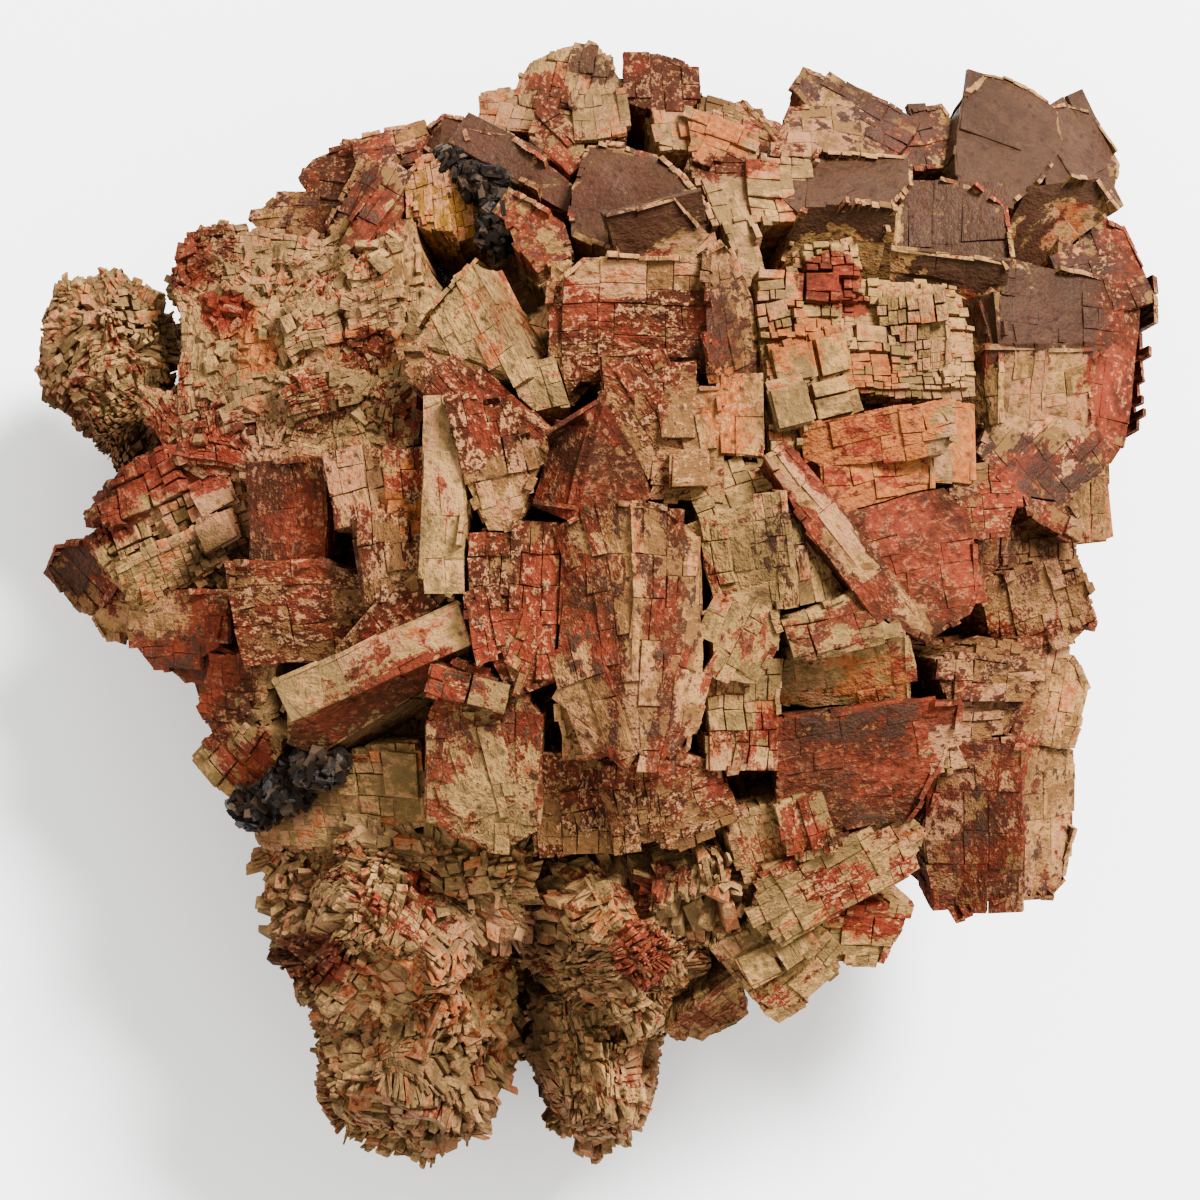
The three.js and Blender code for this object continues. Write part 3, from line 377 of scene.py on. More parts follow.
def feldspar(name, cream=(0.209, 0.117, 0.036), tan=(0.098, 0.046, 0.0125), red=(0.041, 0.0042, 0.0020),
             deep=(0.016, 0.0025, 0.0014), skin=(0.0250, 0.0107, 0.0060), fleck=0.5, rough=0.66, pits=0.5,
             grainy=1.0):
    """Microcline: mottled cream, stained with hematite, with a thin mauve-brown skin on its smooth faces. What is
    stained, and how much, and where shade is painted, comes from the attributes that dress gives each point."""
    material = bpy.data.materials.new(name)
    material.use_nodes = True
    tree = material.node_tree
    tree.nodes.clear()
    new, link = tree.nodes.new, tree.links.new
    place = new("ShaderNodeTexCoord").outputs["Object"]

    # The stains run in streaks along each crystal, so these two noises are stretched that way.
    along = new("ShaderNodeAttribute")
    along.attribute_name = "way"
    streak = new("ShaderNodeMapping")
    streak.inputs["Scale"].default_value = (0.82, 1.12, 1.0)
    link(along.outputs["Vector"], streak.inputs["Vector"])

    def noise(scale, detail, roughness=0.6, streaky=False):
        n = new("ShaderNodeTexNoise")
        n.inputs["Scale"].default_value = scale
        n.inputs["Detail"].default_value = detail
        n.inputs["Roughness"].default_value = roughness
        link(streak.outputs["Vector"] if streaky else place, n.inputs["Vector"])
        return n.outputs["Fac"]

    def mark(key):
        n = new("ShaderNodeAttribute")
        n.attribute_name = key
        return n.outputs["Fac"]

    def sum_of(a, b, times=1.0, less=0.0):
        """a + b * times - less"""
        n = new("ShaderNodeMath")
        n.operation = "MULTIPLY_ADD"
        link(b, n.inputs[0])
        n.inputs[1].default_value = times
        m = new("ShaderNodeMath")
        m.operation = "SUBTRACT"
        link(a, m.inputs[0])
        m.inputs[1].default_value = less
        link(m.outputs[0], n.inputs[2])
        return n.outputs[0]

    def ramp(fac, *stops):
        n = new("ShaderNodeValToRGB")
        while len(n.color_ramp.elements) < len(stops):
            n.color_ramp.elements.new(0.5)
        for e, (at, colour) in zip(n.color_ramp.elements, stops):
            e.position = at
            e.color = (*colour, 1) if isinstance(colour, tuple) else (colour, colour, colour, 1)
        link(fac, n.inputs["Fac"])
        return n.outputs["Color"]

    def over(fac, under, top):
        n = new("ShaderNodeMix")
        n.data_type = "RGBA"
        link(fac, n.inputs["Factor"])
        link(under, n.inputs["A"])
        if isinstance(top, tuple):
            n.inputs["B"].default_value = (*top, 1)
        else:
            link(top, n.inputs["B"])
        return n.outputs["Result"]

    broad, middling = noise(70, 3), noise(310, 4, 0.72, streaky=True)
    fine, finest = noise(900, 2, 0.7, streaky=True), noise(2200, 1, 0.6)
    chance = mark("chance")

    def cells(scale, long=0.45):
        """Small cleavage cells, longer along the crystal than across it, with a random value each."""
        way = new("ShaderNodeAttribute")
        way.attribute_name = "way"
        stretch = new("ShaderNodeMapping")
        stretch.inputs["Scale"].default_value = (scale * long, scale, scale * 0.6)
        link(way.outputs["Vector"], stretch.inputs["Vector"])
        n = new("ShaderNodeTexVoronoi")
        n.distance = "CHEBYCHEV"
        n.inputs["Scale"].default_value = 1
        n.inputs["Randomness"].default_value = 0.85
        link(stretch.outputs["Vector"], n.inputs["Vector"])
        part = new("ShaderNodeSeparateColor")
        link(n.outputs["Color"], part.inputs["Color"])
        return part.outputs[0]

    cell = cells(900)
    # Cream to tan, by the patch and by the block.
    blend = sum_of(sum_of(sum_of(middling, broad, 0.9, 0.45), chance, 0.3, 0.15), cell, 0.16, 0.08)
    pale = tuple(min(1, c * 1.15) for c in cream)
    body = ramp(blend, (0.36, tan), (0.54, cream), (0.72, pale))
    body = over(ramp(fine, (0.36, 0.6), (0.46, 0.0)), body, tuple(c * 0.7 for c in tan))
    pinks = sum_of(sum_of(mark("pink"), middling, 1.6, 0.8), chance, 0.5, 0.25)
    body = over(ramp(pinks, (0.45, 0.0), (0.62, 0.7)), body, (0.205, 0.088, 0.045))
    # Orange stain.
    orange = ramp(sum_of(sum_of(mark("orange"), middling, 2.0, 1.0), chance, 0.5, 0.25), (0.42, 0.0), (0.56, 0.85))
    body = over(orange, body, ramp(fine, (0.3, (0.12, 0.024, 0.005)), (0.65, (0.24, 0.066, 0.014))))
    # Hematite red, broken up by white flecks.
    reds = sum_of(sum_of(sum_of(mark("red"), middling, 1.9, 0.95), fine, 0.5, 0.25), chance, 0.12, 0.06)
    reds = sum_of(sum_of(reds, cell, 0.12, 0.06), broad, 1.3, 0.65)
    bright = tuple(min(1, c * 2.3) for c in red)
    body = over(ramp(reds, (0.43, 0.0), (0.53, 0.92)), body,
                ramp(sum_of(broad, fine, 0.5, 0.25), (0.40, deep), (0.50, red), (0.62, bright)))
    white = new("ShaderNodeMath")
    white.operation = "MULTIPLY"
    link(ramp(sum_of(sum_of(fine, finest, 0.35, 0.175), middling, 0.9, 0.45), (0.64 - fleck_shift * fleck, 0.0),
              (0.72 - fleck_shift * fleck, 0.8)), white.inputs[0])
    link(mark("fleck"), white.inputs[1])
    body = over(white.outputs[0], body, (0.235, 0.118, 0.050))
    # The mauve-brown skin, thin enough to be worn through here and there.
    worn = ramp(sum_of(sum_of(mark("mauve"), middling, 1.6, 0.8), fine, 0.8, 0.4), (0.44, 0.0), (0.54, 0.93))
    body = over(worn, body, ramp(sum_of(broad, finest, 0.6, 0.3), (0.3, tuple(c * 0.62 for c in skin)), (0.55, skin),
                                 (0.75, tuple(c * 1.45 for c in skin))))
    # Pinholes, then the painted shade of the lower left sides, the gaps and the hollows, with the lowest parts and
    # the dark patches made darker as well.
    holes = new("ShaderNodeTexVoronoi")
    holes.inputs["Scale"].default_value = 420
    link(place, holes.inputs["Vector"])
    hole = ramp(holes.outputs["Distance"], (0.10, pits), (0.25, 0.0))
    body = over(hole, body, (0.014, 0.006, 0.003))
    # The painted shade and the dark patches, in one dark brown.
    body = over(mark("painted_shade_and_dark_patches"), body, (0.024, 0.0095, 0.0040))

    shader = new("ShaderNodeBsdfPrincipled")
    link(body, shader.inputs["Base Color"])
    gloss = new("ShaderNodeMapRange")
    link(sum_of(fine, worn, -0.35), gloss.inputs["Value"])
    gloss.inputs["From Min"].default_value = 0.1
    gloss.inputs["From Max"].default_value = 0.7
    gloss.inputs["To Min"].default_value = rough - 0.16
    gloss.inputs["To Max"].default_value = rough + 0.22
    link(gloss.outputs["Result"], shader.inputs["Roughness"])
    shader.inputs["Specular IOR Level"].default_value = 0.035
    relief = sum_of(sum_of(middling, fine, 0.5), finest, 0.1 + 0.1 * grainy)
    bump = new("ShaderNodeBump")
    bump.inputs["Strength"].default_value = 0.7 if grainy > 0.5 else 0.45
    bump.inputs["Distance"].default_value = 0.0013
    link(relief, bump.inputs["Height"])
    link(bump.outputs["Normal"], shader.inputs["Normal"])
    end = new("ShaderNodeOutputMaterial")
    link(shader.outputs[0], end.inputs["Surface"])
    return material


def dress(node, name, material, top=(5, 2.6, 0.7), side=(7, 1.6, 0.6), red=(), orange=(), mauve=(), dark=(),
          base=(0.15, 0.1, 0.0), fleck=0.6, shade=0.42, least=3.0, cover=1.0, grain=None, seed=1, tilt=0.035,
          gap=1.005, wavy=0.3):
    """The finished piece for one solid: its copy, the blocks over its faces, and its colouring. base is how red,
    orange and mauve it is all over, red, orange and mauve are its stains, dark its patches that are made darker,
    and shade how much painted shade its lower left sides get. grain, where it has any, is (size, how many per
    mm2, middle of the knob, stand)."""
    rng = np.random.default_rng(seed)
    piece, faces = stone_copy(node, name)
    laid = []
    if top or side:
        rows = cleave(faces, top or (0, 0, 0), side or (0, 0, 0), rng, least, cover, gap)
        if rows:
            laid.append(rows)
    if grain:
        laid.append(grains(faces, grain[0], rng, grain[1], grain[2], grain[3]))
    v, n, chance, painted_gap_shade, way = join_blocks(piece, laid, rng, tilt=tilt, wavy=wavy)
    mesh = piece.data
    # Painted shade: the lower left sides, turned from the lamp at the upper right, the gaps at the feet of the
    # blocks and the hollows are darkened as shade would darken them. The lowest 16 mm also grow darker towards the
    # floor, and the dark patches are added.
    facing = n @ np.array([-0.55, -0.55, 0.0])
    # Painted shade on the sides that face the lower left, scaled by shade.
    painted_shade_and_dark_patches = np.clip(facing * 1.3 + 0.05, 0, 1) * shade * np.clip(1.3 - n[:, 2], 0, 1)
    # Darker towards the floor over the lowest 16 mm.
    painted_shade_and_dark_patches = np.maximum(painted_shade_and_dark_patches, np.clip((0.016 - v[:, 2]) / 0.016, 0, 1) * 0.35)
    # The dark patches, and the painted shade at the feet of the blocks in the gaps.
    painted_shade_and_dark_patches = np.maximum(np.maximum(painted_shade_and_dark_patches, stain(v, dark)), painted_gap_shade * 0.6)
    # Painted shade in the hollows, at most half strength.
    painted_shade_and_dark_patches = np.maximum(painted_shade_and_dark_patches, np.clip((hollow(v) - 1.5) / 13, 0, 0.5))
    skinned = stain(v, mauve, base[2]) * np.clip((n[:, 2] - 0.25) / 0.35, 0.3 + 0.5 * wave(v, 13)[:, 1], 1)
    marks = {"red": stain(v, red, base[0]), "orange": stain(v, orange, base[1]), "mauve": skinned,
             "painted_shade_and_dark_patches": painted_shade_and_dark_patches, "chance": chance, "fleck": np.full(len(v), fleck),
             "pink": 0.46 + 0.16 * wave(v, 19)[:, 2]}
    for key, values in marks.items():
        mesh.attributes.new(key, "FLOAT", "POINT").data.foreach_set("value", values.astype(np.float32))
    mesh.attributes.new("way", "FLOAT_VECTOR", "POINT").data.foreach_set("vector", way.astype(np.float32).ravel())
    mesh.materials.append(material)
    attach(piece, "root")
    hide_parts(node)
    return piece


rock_stone = feldspar("matrix feldspar", cream=(0.181, 0.093, 0.027), tan=(0.072, 0.035, 0.011))
dress("matrix", "matrix_rock", rock_stone, top=(5, 2.6, 1.0), side=(6, 2.4, 1.0), base=(0.4, 0.3, 0.2), fleck=0.5,
      red=[(-70, -25, 14, 12, 0, 0.62), (-50, -58, 12, 8, 0, 0.6), (70, -40, 14, 14, 0, 0.5)], shade=0.7, seed=1,
      tilt=0.05)

# ------------------------------------------------------------ granular knobs
# Knobs and crusts of the last growth: thousands of small tabular blades, cream
# and pinkish tan, that stand out from the middle of each knob. Each is fused
# to the rock below it.
grain_stone = feldspar("granular feldspar", cream=(0.228, 0.128, 0.044), tan=(0.105, 0.058, 0.021), pits=0.2)
dress("knob_left", "left_knob", grain_stone, top=(2.5, 1.7, 2.4), side=(2.4, 1.5, 2.4),
      grain=((1.7, 1.1), 0.05, (-76, 38, 20), 1.8), wavy=0.9, gap=0.9, tilt=0.2, least=1.5, base=(0.2, 0.28, 0.1),
      fleck=0.4, red=[(-79, 38, 6, 6, 0, 0.34), (-84, 28, 4, 5, 0, 0.4)], dark=[(-74, 22, 10, 5, -10, 0.75)],
      shade=0.6, seed=2)
dress("knob_bottom_left", "lower_left_knob", grain_stone, top=(2.9, 1.9, 3.0), side=(2.8, 1.7, 3.0),
      grain=((1.9, 1.2), 0.05, (-28, -62, 25), 2.2), wavy=1.1, gap=0.9, tilt=0.2, least=1.5, base=(0.22, 0.28, 0.1),
      fleck=0.4, red=[(-47, -59, 7, 4, 0, 0.75), (-27, -50, 8, 6, 0, 0.42), (-44, -42, 6, 4, 0, 0.4)],
      orange=[(-26, -62, 10, 8, 0, 0.42)], dark=[(-27, -78, 9, 7, 20, 0.42), (-10, -66, 2, 14, 0, 0.8)], shade=0.4,
      seed=3)
dress("knob_bottom_right", "lower_right_knob", grain_stone, top=(2.9, 1.6, 3.0), side=(3.2, 1.4, 3.0),
      grain=((2.2, 1.1), 0.05, (8, -60, 22), 2.2), wavy=1.0, gap=0.9, tilt=0.2, least=1.5, base=(0.2, 0.26, 0.1),
      fleck=0.5, red=[(7, -38, 5, 3, 10, 0.72), (9, -47, 6, 2.5, 20, 0.7), (7, -58, 4, 5, 30, 0.66),
                      (16, -30, 5, 3, 0, 0.6)], orange=[(13, -33, 4, 3, 0, 0.8), (3, -52, 5, 3, 0, 0.5)],
      dark=[(-9, -66, 1.6, 14, 0, 0.7)], shade=0.3, seed=4)
dress("field_granular_left", "left_granular_field", grain_stone, top=(3.4, 1.5, 1.1), side=(3.4, 1.5, 0.9),
      grain=((2.4, 1.3), 0.16, None, 1.2), wavy=0.6, base=(0.27, 0.28, 0.12), fleck=0.6, least=2.0,
      red=[(-65, 55, 7, 6, 0, 0.62), (-59, 45, 3.5, 3, 0, 0.8), (-36, 39, 4, 3, 0, 0.75),
           (-55, 28, 16, 5, 10, 0.52), (-30, 30, 6, 4, 0, 0.55)], orange=[(-58, 44, 4, 3, 0, 0.9),
                                                                          (-54, 38, 3, 3, 0, 0.7),
                                                                          (-36, 39, 5, 3, 0, 0.7)],
      dark=[(-59, 35, 2, 2.5, 0, 0.5)], shade=0.5, gap=0.97, seed=5, tilt=0.06)

# ------------------------------------------------------------- cleaved stacks
# Places where the feldspar has grown as open stacks of small cubes and bricks,
# nearly parallel, cream to tan, with thin dark gaps between them.
stack_stone = feldspar("stacked feldspar", cream=(0.217, 0.117, 0.037), tan=(0.099, 0.056, 0.018))
dress("stack_tan_left", "left_stack_of_tan_cubes", stack_stone, top=(4.4, 3.7, 2.0), side=(3.9, 2.8, 1.5),
      base=(0.14, 0.28, 0.1), red=[(-70, 19, 17, 3.2, 25, 0.85), (-80, 12, 6, 4, 0, 0.7), (-60, 21, 8, 3, 20, 0.8)],
      dark=[(-60, 5, 8, 3, 35, 0.6)], fleck=0.4, least=2, gap=0.93, seed=6, tilt=0.05)
dress("cubes_lower_left", "lower_left_cubes", stack_stone, top=(4.1, 3.4, 1.60), side=(4.1, 2.8, 1.28), least=2,
      base=(0.22, 0.26, 0.15), red=[(-60, -16, 5, 8, 0, 0.8), (-56, -26, 4, 5, 0, 0.55)],
      dark=[(-48, -31, 8, 4, 30, 0.55)], fleck=0.4, gap=0.97, seed=7, tilt=0.05)
dress("bricks_right_centre", "right_bricks", stack_stone, top=(4.8, 3.2, 1.9), side=(4.6, 2.6, 1.4), least=2,
      base=(0.12, 0.24, 0.05), red=[(37, 50, 4.5, 4, 5, 0.8), (41, 46, 2.5, 2, 0, 0.7)],
      orange=[(33, 40, 5, 3, 12, 0.75), (37, 50, 5, 4, 5, 0.5), (45, 35, 4, 3, 0, 0.5)], fleck=0.3, gap=0.94,
      seed=8, tilt=0.05, dark=[(38, 40, 16, 10, 0, 0.14)])
dress("blocks_tan_centre", "tan_blocks_by_the_middle", stack_stone, top=(10.0, 6.5, 0.7), side=(9.0, 5.0, 0.6),
      least=4, base=(0.27, 0.26, 0.25),
      red=[(41, -5, 4, 3, 0, 0.65), (34, -8, 6, 3, 30, 0.55), (25, -24, 6, 3, 0, 0.5)],
      orange=[(45, -14, 5, 4, 0, 0.75), (30, -20, 5, 3, 0, 0.55)], dark=[(30, -4, 14, 14, 0, 0.15),
                                                                         (31, 0, 5, 1.5, 10, 0.7),
                                                                         (40, -20, 9, 2, 12, 0.6)], fleck=0.5,
      mauve=[(32, 9, 7, 5, 30, 0.5)], gap=0.97, seed=9)
dress("crystals_lower_right", "lower_right_crystals", stack_stone, top=(8.5, 5.0, 0.9), side=(8.5, 4.0, 0.9),
      least=3, base=(0.30, 0.24, 0.1), red=[(36, -44, 12, 5, 25, 0.44), (34, -37, 4, 4, 0, 0.6),
                                            (43, -52, 7, 3, -20, 0.5)], orange=[(42, -52, 8, 3, -20, 0.6)],
      dark=[(20, -61, 2.5, 2.5, 0, 0.7), (18, -70, 6, 4, 0, 0.7)], fleck=1.0, seed=10, shade=0.15)

# ----------------------------------------------------------------- red masses
# Rough crystals that are stained brick red through their outer layer, and
# broken so that white feldspar shows in flecks. Their tops are uneven.
red_stone = feldspar("red feldspar", cream=(0.217, 0.108, 0.034), tan=(0.093, 0.041, 0.013), fleck=1.0, pits=0.7)
dress("crystal_red_point", "pointed_red_crystal", red_stone, top=(30.0, 20.0, 0.15), side=(30.0, 20.0, 0.15),
      base=(0.95, 0.1, 0.22), fleck=0.35, least=20, shade=0.3, seed=11)
dress("crystals_red_centre", "middle_red_crystals", red_stone, top=(12.0, 6.5, 0.8), side=(12.0, 6.0, 0.8),
      base=(0.68, 0.28, 0.25), fleck=1.0, red=[(-10, -10, 5, 4, 0, 0.5)], seed=12, tilt=0.06, least=5)
dress("crystals_red_left", "left_red_crystals", red_stone, top=(11.0, 6.5, 0.9), side=(11.0, 6.0, 0.9),
      base=(0.6, 0.28, 0.2), fleck=1.0, red=[(-36, 17, 5, 4, 0, 0.15), (-33, -5, 8, 2.5, 40, 0.9)],
      orange=[(-30, 15, 3, 5, 0, 0.9)], dark=[(-41, 6, 3, 3, 0, 0.9)], seed=13, tilt=0.06, least=4, shade=0.25)
dress("crystal_red_face", "deep_red_crystal_face", red_stone, top=(24.0, 14.0, 0.2), side=(18.0, 7.0, 0.4),
      base=(0.8, 0.1, 0.22), fleck=0.45, least=9, seed=14)
dress("crystals_left_tips", "left_crystal_tips", red_stone, top=(13.0, 7.0, 0.6), side=(13.0, 5.0, 0.6),
      base=(0.64, 0.2, 0.3), red=[(-70, -4, 5, 3, 0, 0.2), (-80, -6, 4, 3, 0, 0.2)],
      mauve=[(-86, 4, 5, 5, 0, 0.6), (-66, -12, 6, 4, 0, 0.5)], fleck=0.7, seed=15, least=5)
dress("slab_red_white", "red_and_white_slab", red_stone, top=(10.0, 6.0, 0.8), side=(10.0, 4.5, 0.8),
      base=(0.46, 0.15, 0.1), red=[(-20, 30, 8, 5, 0, 0.9), (-18, 20, 5, 3, -50, 0.35), (-16, 12, 6, 4, 0, 0.1),
                                   (-12, 27, 2, 9, -60, 0.85)], fleck=1.0, seed=16, least=4)
dress("blocks_red_lower", "lower_red_blocks", red_stone, top=(11.0, 6.5, 0.9), side=(11.0, 6.0, 0.9),
      base=(0.6, 0.3, 0.22), fleck=1.0, seed=17, tilt=0.06, least=4)
dress("crystal_red_top", "top_red_crystal", red_stone, top=(12.0, 7.5, 0.6), side=(12.0, 5.0, 0.6),
      base=(0.9, 0.1, 0.2), fleck=0.5, seed=18, least=5)
dress("crystals_maroon_rim", "maroon_rim_crystals", red_stone, top=(13.0, 6.5, 0.6), side=(13.0, 4.5, 0.6),
      base=(0.64, 0.2, 0.35), red=[(-41, 67, 5, 4, 30, 0.95), (-56, 61, 5, 3, 0, 0.1), (-33, 74, 6, 2, 0, 0.3)],
      dark=[(-42, 60, 5, 3, 0, 0.45)], fleck=0.7, seed=19, least=5)
dress("crystal_dark_red", "dark_red_crystal", red_stone, top=(22.0, 12.0, 0.3), side=(20.0, 8.0, 0.4),
      base=(0.8, 0.15, 0.32), red=[(58, -25, 5, 4, 0, 0.15)], mauve=[(42, -20, 10, 3, 15, 0.6)],
      dark=[(36, -28, 3, 2, 0, 0.35)], fleck=0.35, seed=20, least=9)
dress("crystal_red_right", "right_red_crystal", red_stone, top=(24.0, 12.0, 0.3), side=(18.0, 7.0, 0.4),
      base=(0.88, 0.2, 0.28), red=[(33, 17, 8, 2, -45, 0.0), (45, 2, 10, 1.6, -45, 0.1)], fleck=0.4,
      dark=[(42, 9, 4, 2.5, -30, 0.4)], seed=21, least=9)
dress("crystals_right_hollow", "crystals_round_the_right_hollow", red_stone, top=(10.0, 6.0, 0.8),
      side=(10.0, 4.5, 0.8), base=(0.6, 0.25, 0.25), red=[(76, -17, 4, 8, 0, 0.05), (70, -2, 9, 3, 0, 0.4)],
      dark=[(68, 6, 8, 3, 0, 0.5)], fleck=0.7, least=4, seed=22, tilt=0.05)
dress("crystal_brown_red", "brown_red_crystal", red_stone, top=(24.0, 14.0, 0.3), side=(20.0, 7.0, 0.4),
      base=(0.56, 0.24, 0.36), red=[(63, -40, 1.6, 6, 0, 0.9), (75, -34, 3, 12, 0, 0.1)],
      dark=[(70, -32, 4, 2, 0, 0.35)], fleck=0.6, seed=23, least=9, shade=0.2)
dress("crystal_upper_centre", "upper_middle_crystal", red_stone, top=(13.0, 8.0, 0.7), side=(13.0, 6.0, 0.7),
      least=5, base=(0.42, 0.28, 0.2), red=[(8, 42, 13, 9, 0, 0.72), (5, 52, 10, 3, 0, 0.1), (4, 30, 8, 10, 0, 0.6),
                                            (22, 28, 4, 6, 0, 0.1)], mauve=[(22, 42, 4, 10, 0, 0.5)],
      orange=[(22, 30, 4, 7, 0, 0.9), (14, 35, 3, 5, 0, 0.5)], dark=[(23, 38, 1.6, 14, 18, 0.5)], fleck=1.0,
      seed=24)
dress("column_centre", "middle_column", red_stone, top=(20.0, 9.0, 0.5), side=(20.0, 6.0, 0.5),
      base=(0.72, 0.26, 0.34), red=[(-3, -19, 4, 7, 0, 0.05), (6.5, -8, 1.4, 20, 0, 0.1), (16, -8, 1.6, 18, 0, 0.1),
                                    (2, 9, 6, 3, 0, 0.35)], fleck=0.7, mauve=[(-3, -8, 5, 6, 0, 0.4)], seed=25,
      tilt=0.05, least=8)

# ----------------------------------------------------------- mauve-skinned crystals
# Large flat-faced crystals with a thin, smooth mauve-brown skin over cream
# feldspar. Their sides are broken and striated; those that face the lower left are darker with painted shade.
skin_stone = feldspar("mauve-skinned feldspar", cream=(0.217, 0.113, 0.034), tan=(0.091, 0.045, 0.014), rough=0.56,
                      pits=0.75, grainy=0.15)
dress("crystal_mauve_top", "top_mauve_crystal", skin_stone, top=(40.0, 25.0, 0.12), side=(14.0, 4.0, 0.3),
      base=(0.3, 0.2, 0.78), mauve=[(14, 52, 8, 4, 20, 0.0), (0, 50, 5, 3, 0, 0.1)], red=[(4, 62, 8, 3, 0, 0.55)],
      least=14, seed=26)
dress("slab_mauve_diagonal", "diagonal_mauve_slab", skin_stone, top=(40.0, 25.0, 0.12), side=(14.0, 4.0, 0.3),
      base=(0.42, 0.2, 0.78), least=14, seed=27)
dress("slab_pink_diagonal", "diagonal_pink_slab", skin_stone, top=(16.0, 9.0, 0.3), side=(12.0, 4.0, 0.3),
      base=(0.5, 0.22, 0.3), red=[(-5, 47, 6, 3, 0, 0.1)], fleck=0.9, least=6, seed=28)
dress("crystal_mauve_right", "right_mauve_crystal", skin_stone, top=(40.0, 25.0, 0.12), side=(18.0, 2.6, 0.4),
      base=(0.34, 0.2, 1.0), mauve=[(38, 52, 10, 5, 10, 0.2)], fleck=1.0, shade=0.35, least=12, seed=29)
dress("crystals_brown_edge", "brown_edge_crystals", skin_stone, top=(14.0, 9.0, 0.35), side=(12.0, 4.0, 0.3),
      base=(0.5, 0.2, 0.55), mauve=[(35, 72, 7, 5, 0, 0.35)], dark=[(41, 81, 3, 2, 0, 0.9), (50, 77, 3, 2, 0, 0.9)],
      fleck=0.8, seed=30, least=5)
dress("crystal_brown_corner", "brown_corner_crystal", skin_stone, top=(40.0, 25.0, 0.12), side=(16.0, 4.0, 0.3),
      base=(0.25, 0.2, 1.15), mauve=[(72, 57, 8, 4, 30, 0.1), (84, 66, 2.5, 8, -20, 0.6)],
      orange=[(71, 57, 8, 3, 30, 0.6)], least=12, seed=31)
dress("slab_mauve_right", "right_mauve_slab", skin_stone, top=(24.0, 14.0, 0.2), side=(12.0, 4.0, 0.3),
      base=(0.36, 0.2, 0.74), mauve=[(54, 44, 8, 4, 0, 0.1), (46, 56, 3, 7, 0, 0.1)], red=[(56, 46, 8, 4, 0, 0.6)],
      fleck=1.0, least=8, seed=32)
dress("crystal_big_right", "big_right_crystal", skin_stone, top=(13.0, 9.0, 0.4), side=(12.0, 4.5, 0.4),
      base=(0.5, 0.24, 0.5), mauve=[(73, 45, 11, 6, 0, 0.85), (68, 32, 5, 5, 0, 0.1), (75, 31, 5, 7, 0, 0.1),
                                    (84, 40, 3, 20, 0, 0.1)], red=[(84, 42, 4, 20, 0, 0.8),
                                                                   (76, 20, 10, 6, 0, 0.66), (68, 32, 5, 5, 0, 0.0),
                                                                   (75, 32, 4, 6, 0, 0.0)],
      dark=[(61, 37, 3, 9, -10, 0.55)], least=6, seed=33)
dress("slabs_parallel_left", "parallel_left_slabs", skin_stone, top=(14.0, 7.0, 0.4), side=(12.0, 3.0, 0.3),
      base=(0.5, 0.25, 0.42), red=[(-36, 61, 3, 6, 0, 0.8), (-30, 53, 4, 5, 0, 0.05)],
      mauve=[(-30, 53, 4, 5, 0, 0.0)], fleck=0.8, seed=34, least=5)

# ----------------------------------------------------------- cream crystals
# Crystals whose faces are clean cream or tan feldspar, in thick blades and
# prisms, some with one stained side.
cream_stone = feldspar("cream feldspar", cream=(0.232, 0.128, 0.042), tan=(0.112, 0.064, 0.022), pits=0.6)
dress("blade_cream", "cream_blade", cream_stone, top=(26.0, 9.0, 0.2), side=(20.0, 5.0, 0.3), base=(0.12, 0.15, 0),
      fleck=0.2, least=8, seed=35)
dress("prism_cream_left", "left_cream_prism", cream_stone, top=(40.0, 20.0, 0.1), side=(20.0, 6.0, 0.3),
      base=(0.16, 0.2, 0.05), red=[(-38, -19, 15, 3, 30, 0.7)], dark=[(-38, -20, 14, 3, 30, 0.35)], fleck=0.3,
      least=10, seed=36, shade=0.3)
dress("prism_tan_pointed", "pointed_tan_prism", cream_stone, top=(18.0, 8.0, 0.3), side=(18.0, 3.5, 0.5),
      base=(0.1, 0.28, 0.1), dark=[(-13, 44, 8, 3, -50, 0.6)], orange=[(-12, 46, 4, 3, 0, 0.45)], fleck=0.2,
      seed=37, least=6)
dress("slab_pale_on_edge", "pale_slab_on_its_edge", cream_stone, top=(22.0, 9.0, 0.2), side=(18.0, 5.0, 0.3),
      base=(0.02, 0.02, 0), fleck=0.2, seed=38, least=6)
dress("crystals_pale_top", "pale_top_crystals", cream_stone, top=(9.0, 5.5, 0.9), side=(8.0, 4.0, 0.8),
      base=(0.2, 0.34, 0.1), red=[(-7, 78, 5, 3, -50, 0.8), (-5, 70, 6, 5, 0, 0.5)], mauve=[(0, 85, 4, 3, 0, 0.6)],
      fleck=0.8, least=3, seed=39, dark=[(-6, 78, 15, 12, 0, 0.25)])
dress("blocks_cream_top", "cream_blocks_at_the_top", cream_stone, top=(9.0, 6.0, 0.9), side=(8.0, 4.0, 0.8),
      base=(0.2, 0.34, 0.05), red=[(20, 68, 5, 2, 0, 0.75)], orange=[(20, 73, 5, 4, 0, 0.7)], fleck=0.5, least=3,
      seed=40, dark=[(20, 72, 12, 8, 0, 0.15)])
dress("block_rounded_lower", "rounded_lower_block", cream_stone, top=(11.0, 7.0, 0.6), side=(9.0, 4.5, 0.5),
      least=4, base=(0.52, 0.3, 0.34), red=[(-17, -34, 6, 5, 0, 0.1)], mauve=[(-20, -33, 6, 5, 0, 0.3)], fleck=0.7,
      seed=41, dark=[(-19, -30, 10, 10, 0, 0.22)])
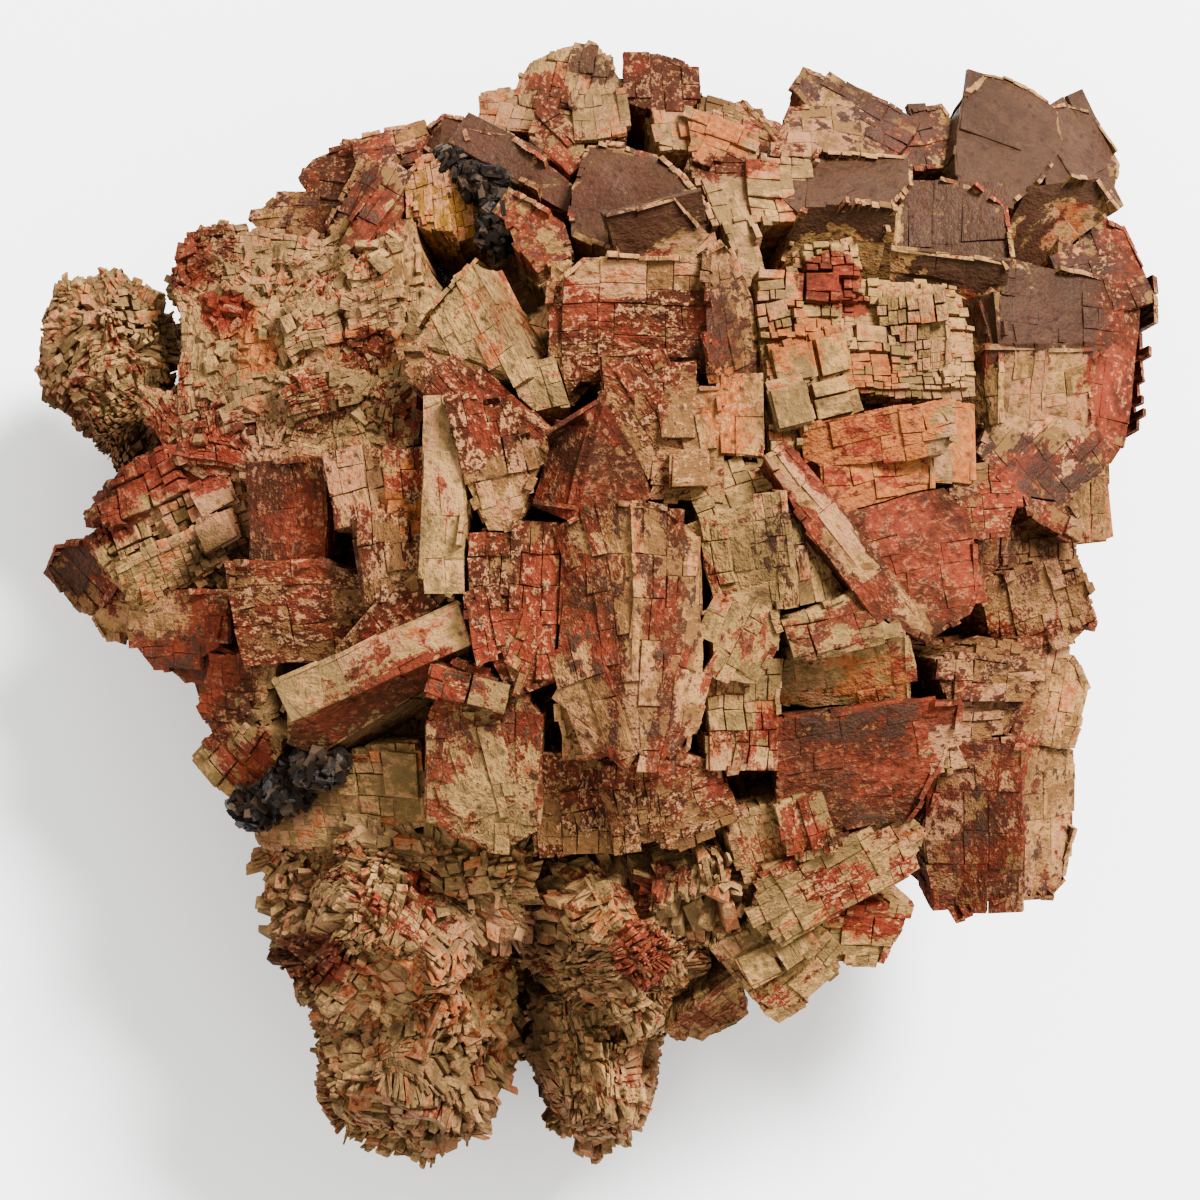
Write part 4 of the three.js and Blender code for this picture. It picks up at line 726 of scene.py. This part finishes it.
dress("crystal_orange", "orange_crystal", cream_stone, top=(13.0, 8.0, 0.5), side=(10.0, 4.5, 0.5),
      base=(0.32, 0.85, 0), orange=[(57, 23, 3, 6, 0, 0.1)], red=[(57, 23, 3, 6, 0, 0.05), (40, 26, 7, 3, 0, 0.4)],
      fleck=0.3, seed=42, least=5)

# -------------------------------------------------------- ochre and black crusts
# Iron ochre coats one hollow, and in two hollows there is a crust of small
# black bladed crystals, shiny, with clear grey quartz between them.
ochre_stone = feldspar("ochre-coated feldspar", cream=(0.205, 0.088, 0.011), tan=(0.110, 0.046, 0.006),
                       red=(0.10, 0.016, 0.004), pits=0.6)
dress("crystal_ochre", "ochre_crystal", ochre_stone, top=(4.6, 2.6, 0.6), side=(4, 1.8, 0.6), base=(0.25, 0.3, 0),
      fleck=0.3, seed=43)

black_crystal = bpy.data.materials.new("black crystals")
black_crystal.use_nodes = True
black_tree = black_crystal.node_tree
black_shader = black_tree.nodes["Principled BSDF"]
black_shader.inputs["Specular IOR Level"].default_value = 0.05
black_chance = black_tree.nodes.new("ShaderNodeAttribute")
black_chance.attribute_name = "chance"
black_ramp = black_tree.nodes.new("ShaderNodeValToRGB")
black_ramp.color_ramp.elements[0].position = 0.55
black_ramp.color_ramp.elements[0].color = (0.0062, 0.0040, 0.0028, 1)
black_ramp.color_ramp.elements[1].position = 1.0
black_ramp.color_ramp.elements[1].color = (0.046, 0.027, 0.015, 1)
black_tree.links.new(black_chance.outputs["Fac"], black_ramp.inputs["Fac"])
black_tree.links.new(black_ramp.outputs["Color"], black_shader.inputs["Base Color"])
black_noise = black_tree.nodes.new("ShaderNodeTexNoise")
black_noise.inputs["Scale"].default_value = 1800
black_place = black_tree.nodes.new("ShaderNodeTexCoord")
black_tree.links.new(black_place.outputs["Object"], black_noise.inputs["Vector"])
black_gloss = black_tree.nodes.new("ShaderNodeMapRange")
black_gloss.inputs["To Min"].default_value = 0.3
black_gloss.inputs["To Max"].default_value = 0.5
black_tree.links.new(black_noise.outputs["Fac"], black_gloss.inputs["Value"])
black_tree.links.new(black_gloss.outputs["Result"], black_shader.inputs["Roughness"])
black_bump = black_tree.nodes.new("ShaderNodeBump")
black_bump.inputs["Strength"].default_value = 0.4
black_bump.inputs["Distance"].default_value = 0.0004
black_tree.links.new(black_noise.outputs["Fac"], black_bump.inputs["Height"])
black_tree.links.new(black_bump.outputs["Normal"], black_shader.inputs["Normal"])
dress("crust_black_upper", "upper_black_crust", black_crystal, top=None, side=None,
      grain=((1.9, 0.9), 1.0, None, 1.0), seed=44)
dress("crust_black_lower", "lower_black_crust", black_crystal, top=None, side=None,
      grain=((2.4, 1.1), 0.8, None, 1.4), seed=45)

# --------------------------------------------------------------------- the stage
# A plain white floor under soft daylight that comes from above and from the
# upper right, and a camera straight above, as the specimen was photographed.
bpy.ops.object.select_all(action="DESELECT")
bpy.ops.mesh.primitive_plane_add(size=6, location=(0, 0, 0))
floor = bpy.context.object
floor.name = "floor"
paper = bpy.data.materials.new("white floor")
paper.use_nodes = True
paper.node_tree.nodes["Principled BSDF"].inputs["Base Color"].default_value = (0.95, 0.95, 0.95, 1)
paper.node_tree.nodes["Principled BSDF"].inputs["Roughness"].default_value = 0.9
floor.data.materials.append(paper)

sky = bpy.data.worlds.new("soft daylight")
bpy.context.scene.world = sky
sky.use_nodes = True
sky.node_tree.nodes["Background"].inputs["Color"].default_value = (1, 0.99, 0.965, 1)
sky.node_tree.nodes["Background"].inputs["Strength"].default_value = 2.05

bpy.ops.object.light_add(type="AREA", location=(0.82, 1.02, 1.36))
window = bpy.context.object
window.name = "window"
window.data.energy = 205
window.data.size = 0.55
window.rotation_euler = (Vector((0, 0, 0.04)) - window.location).to_track_quat("-Z", "Y").to_euler()

bpy.ops.object.camera_add(location=(0.00124, 0.00029, 0.745))
camera = bpy.context.object
camera.name = "camera"
camera.data.sensor_width = 36
half_width, distance = 0.096, 0.700
camera.data.lens = 36 / (2 * (half_width / distance))
camera.data.clip_start, camera.data.clip_end = 0.01, 20
bpy.context.scene.camera = camera
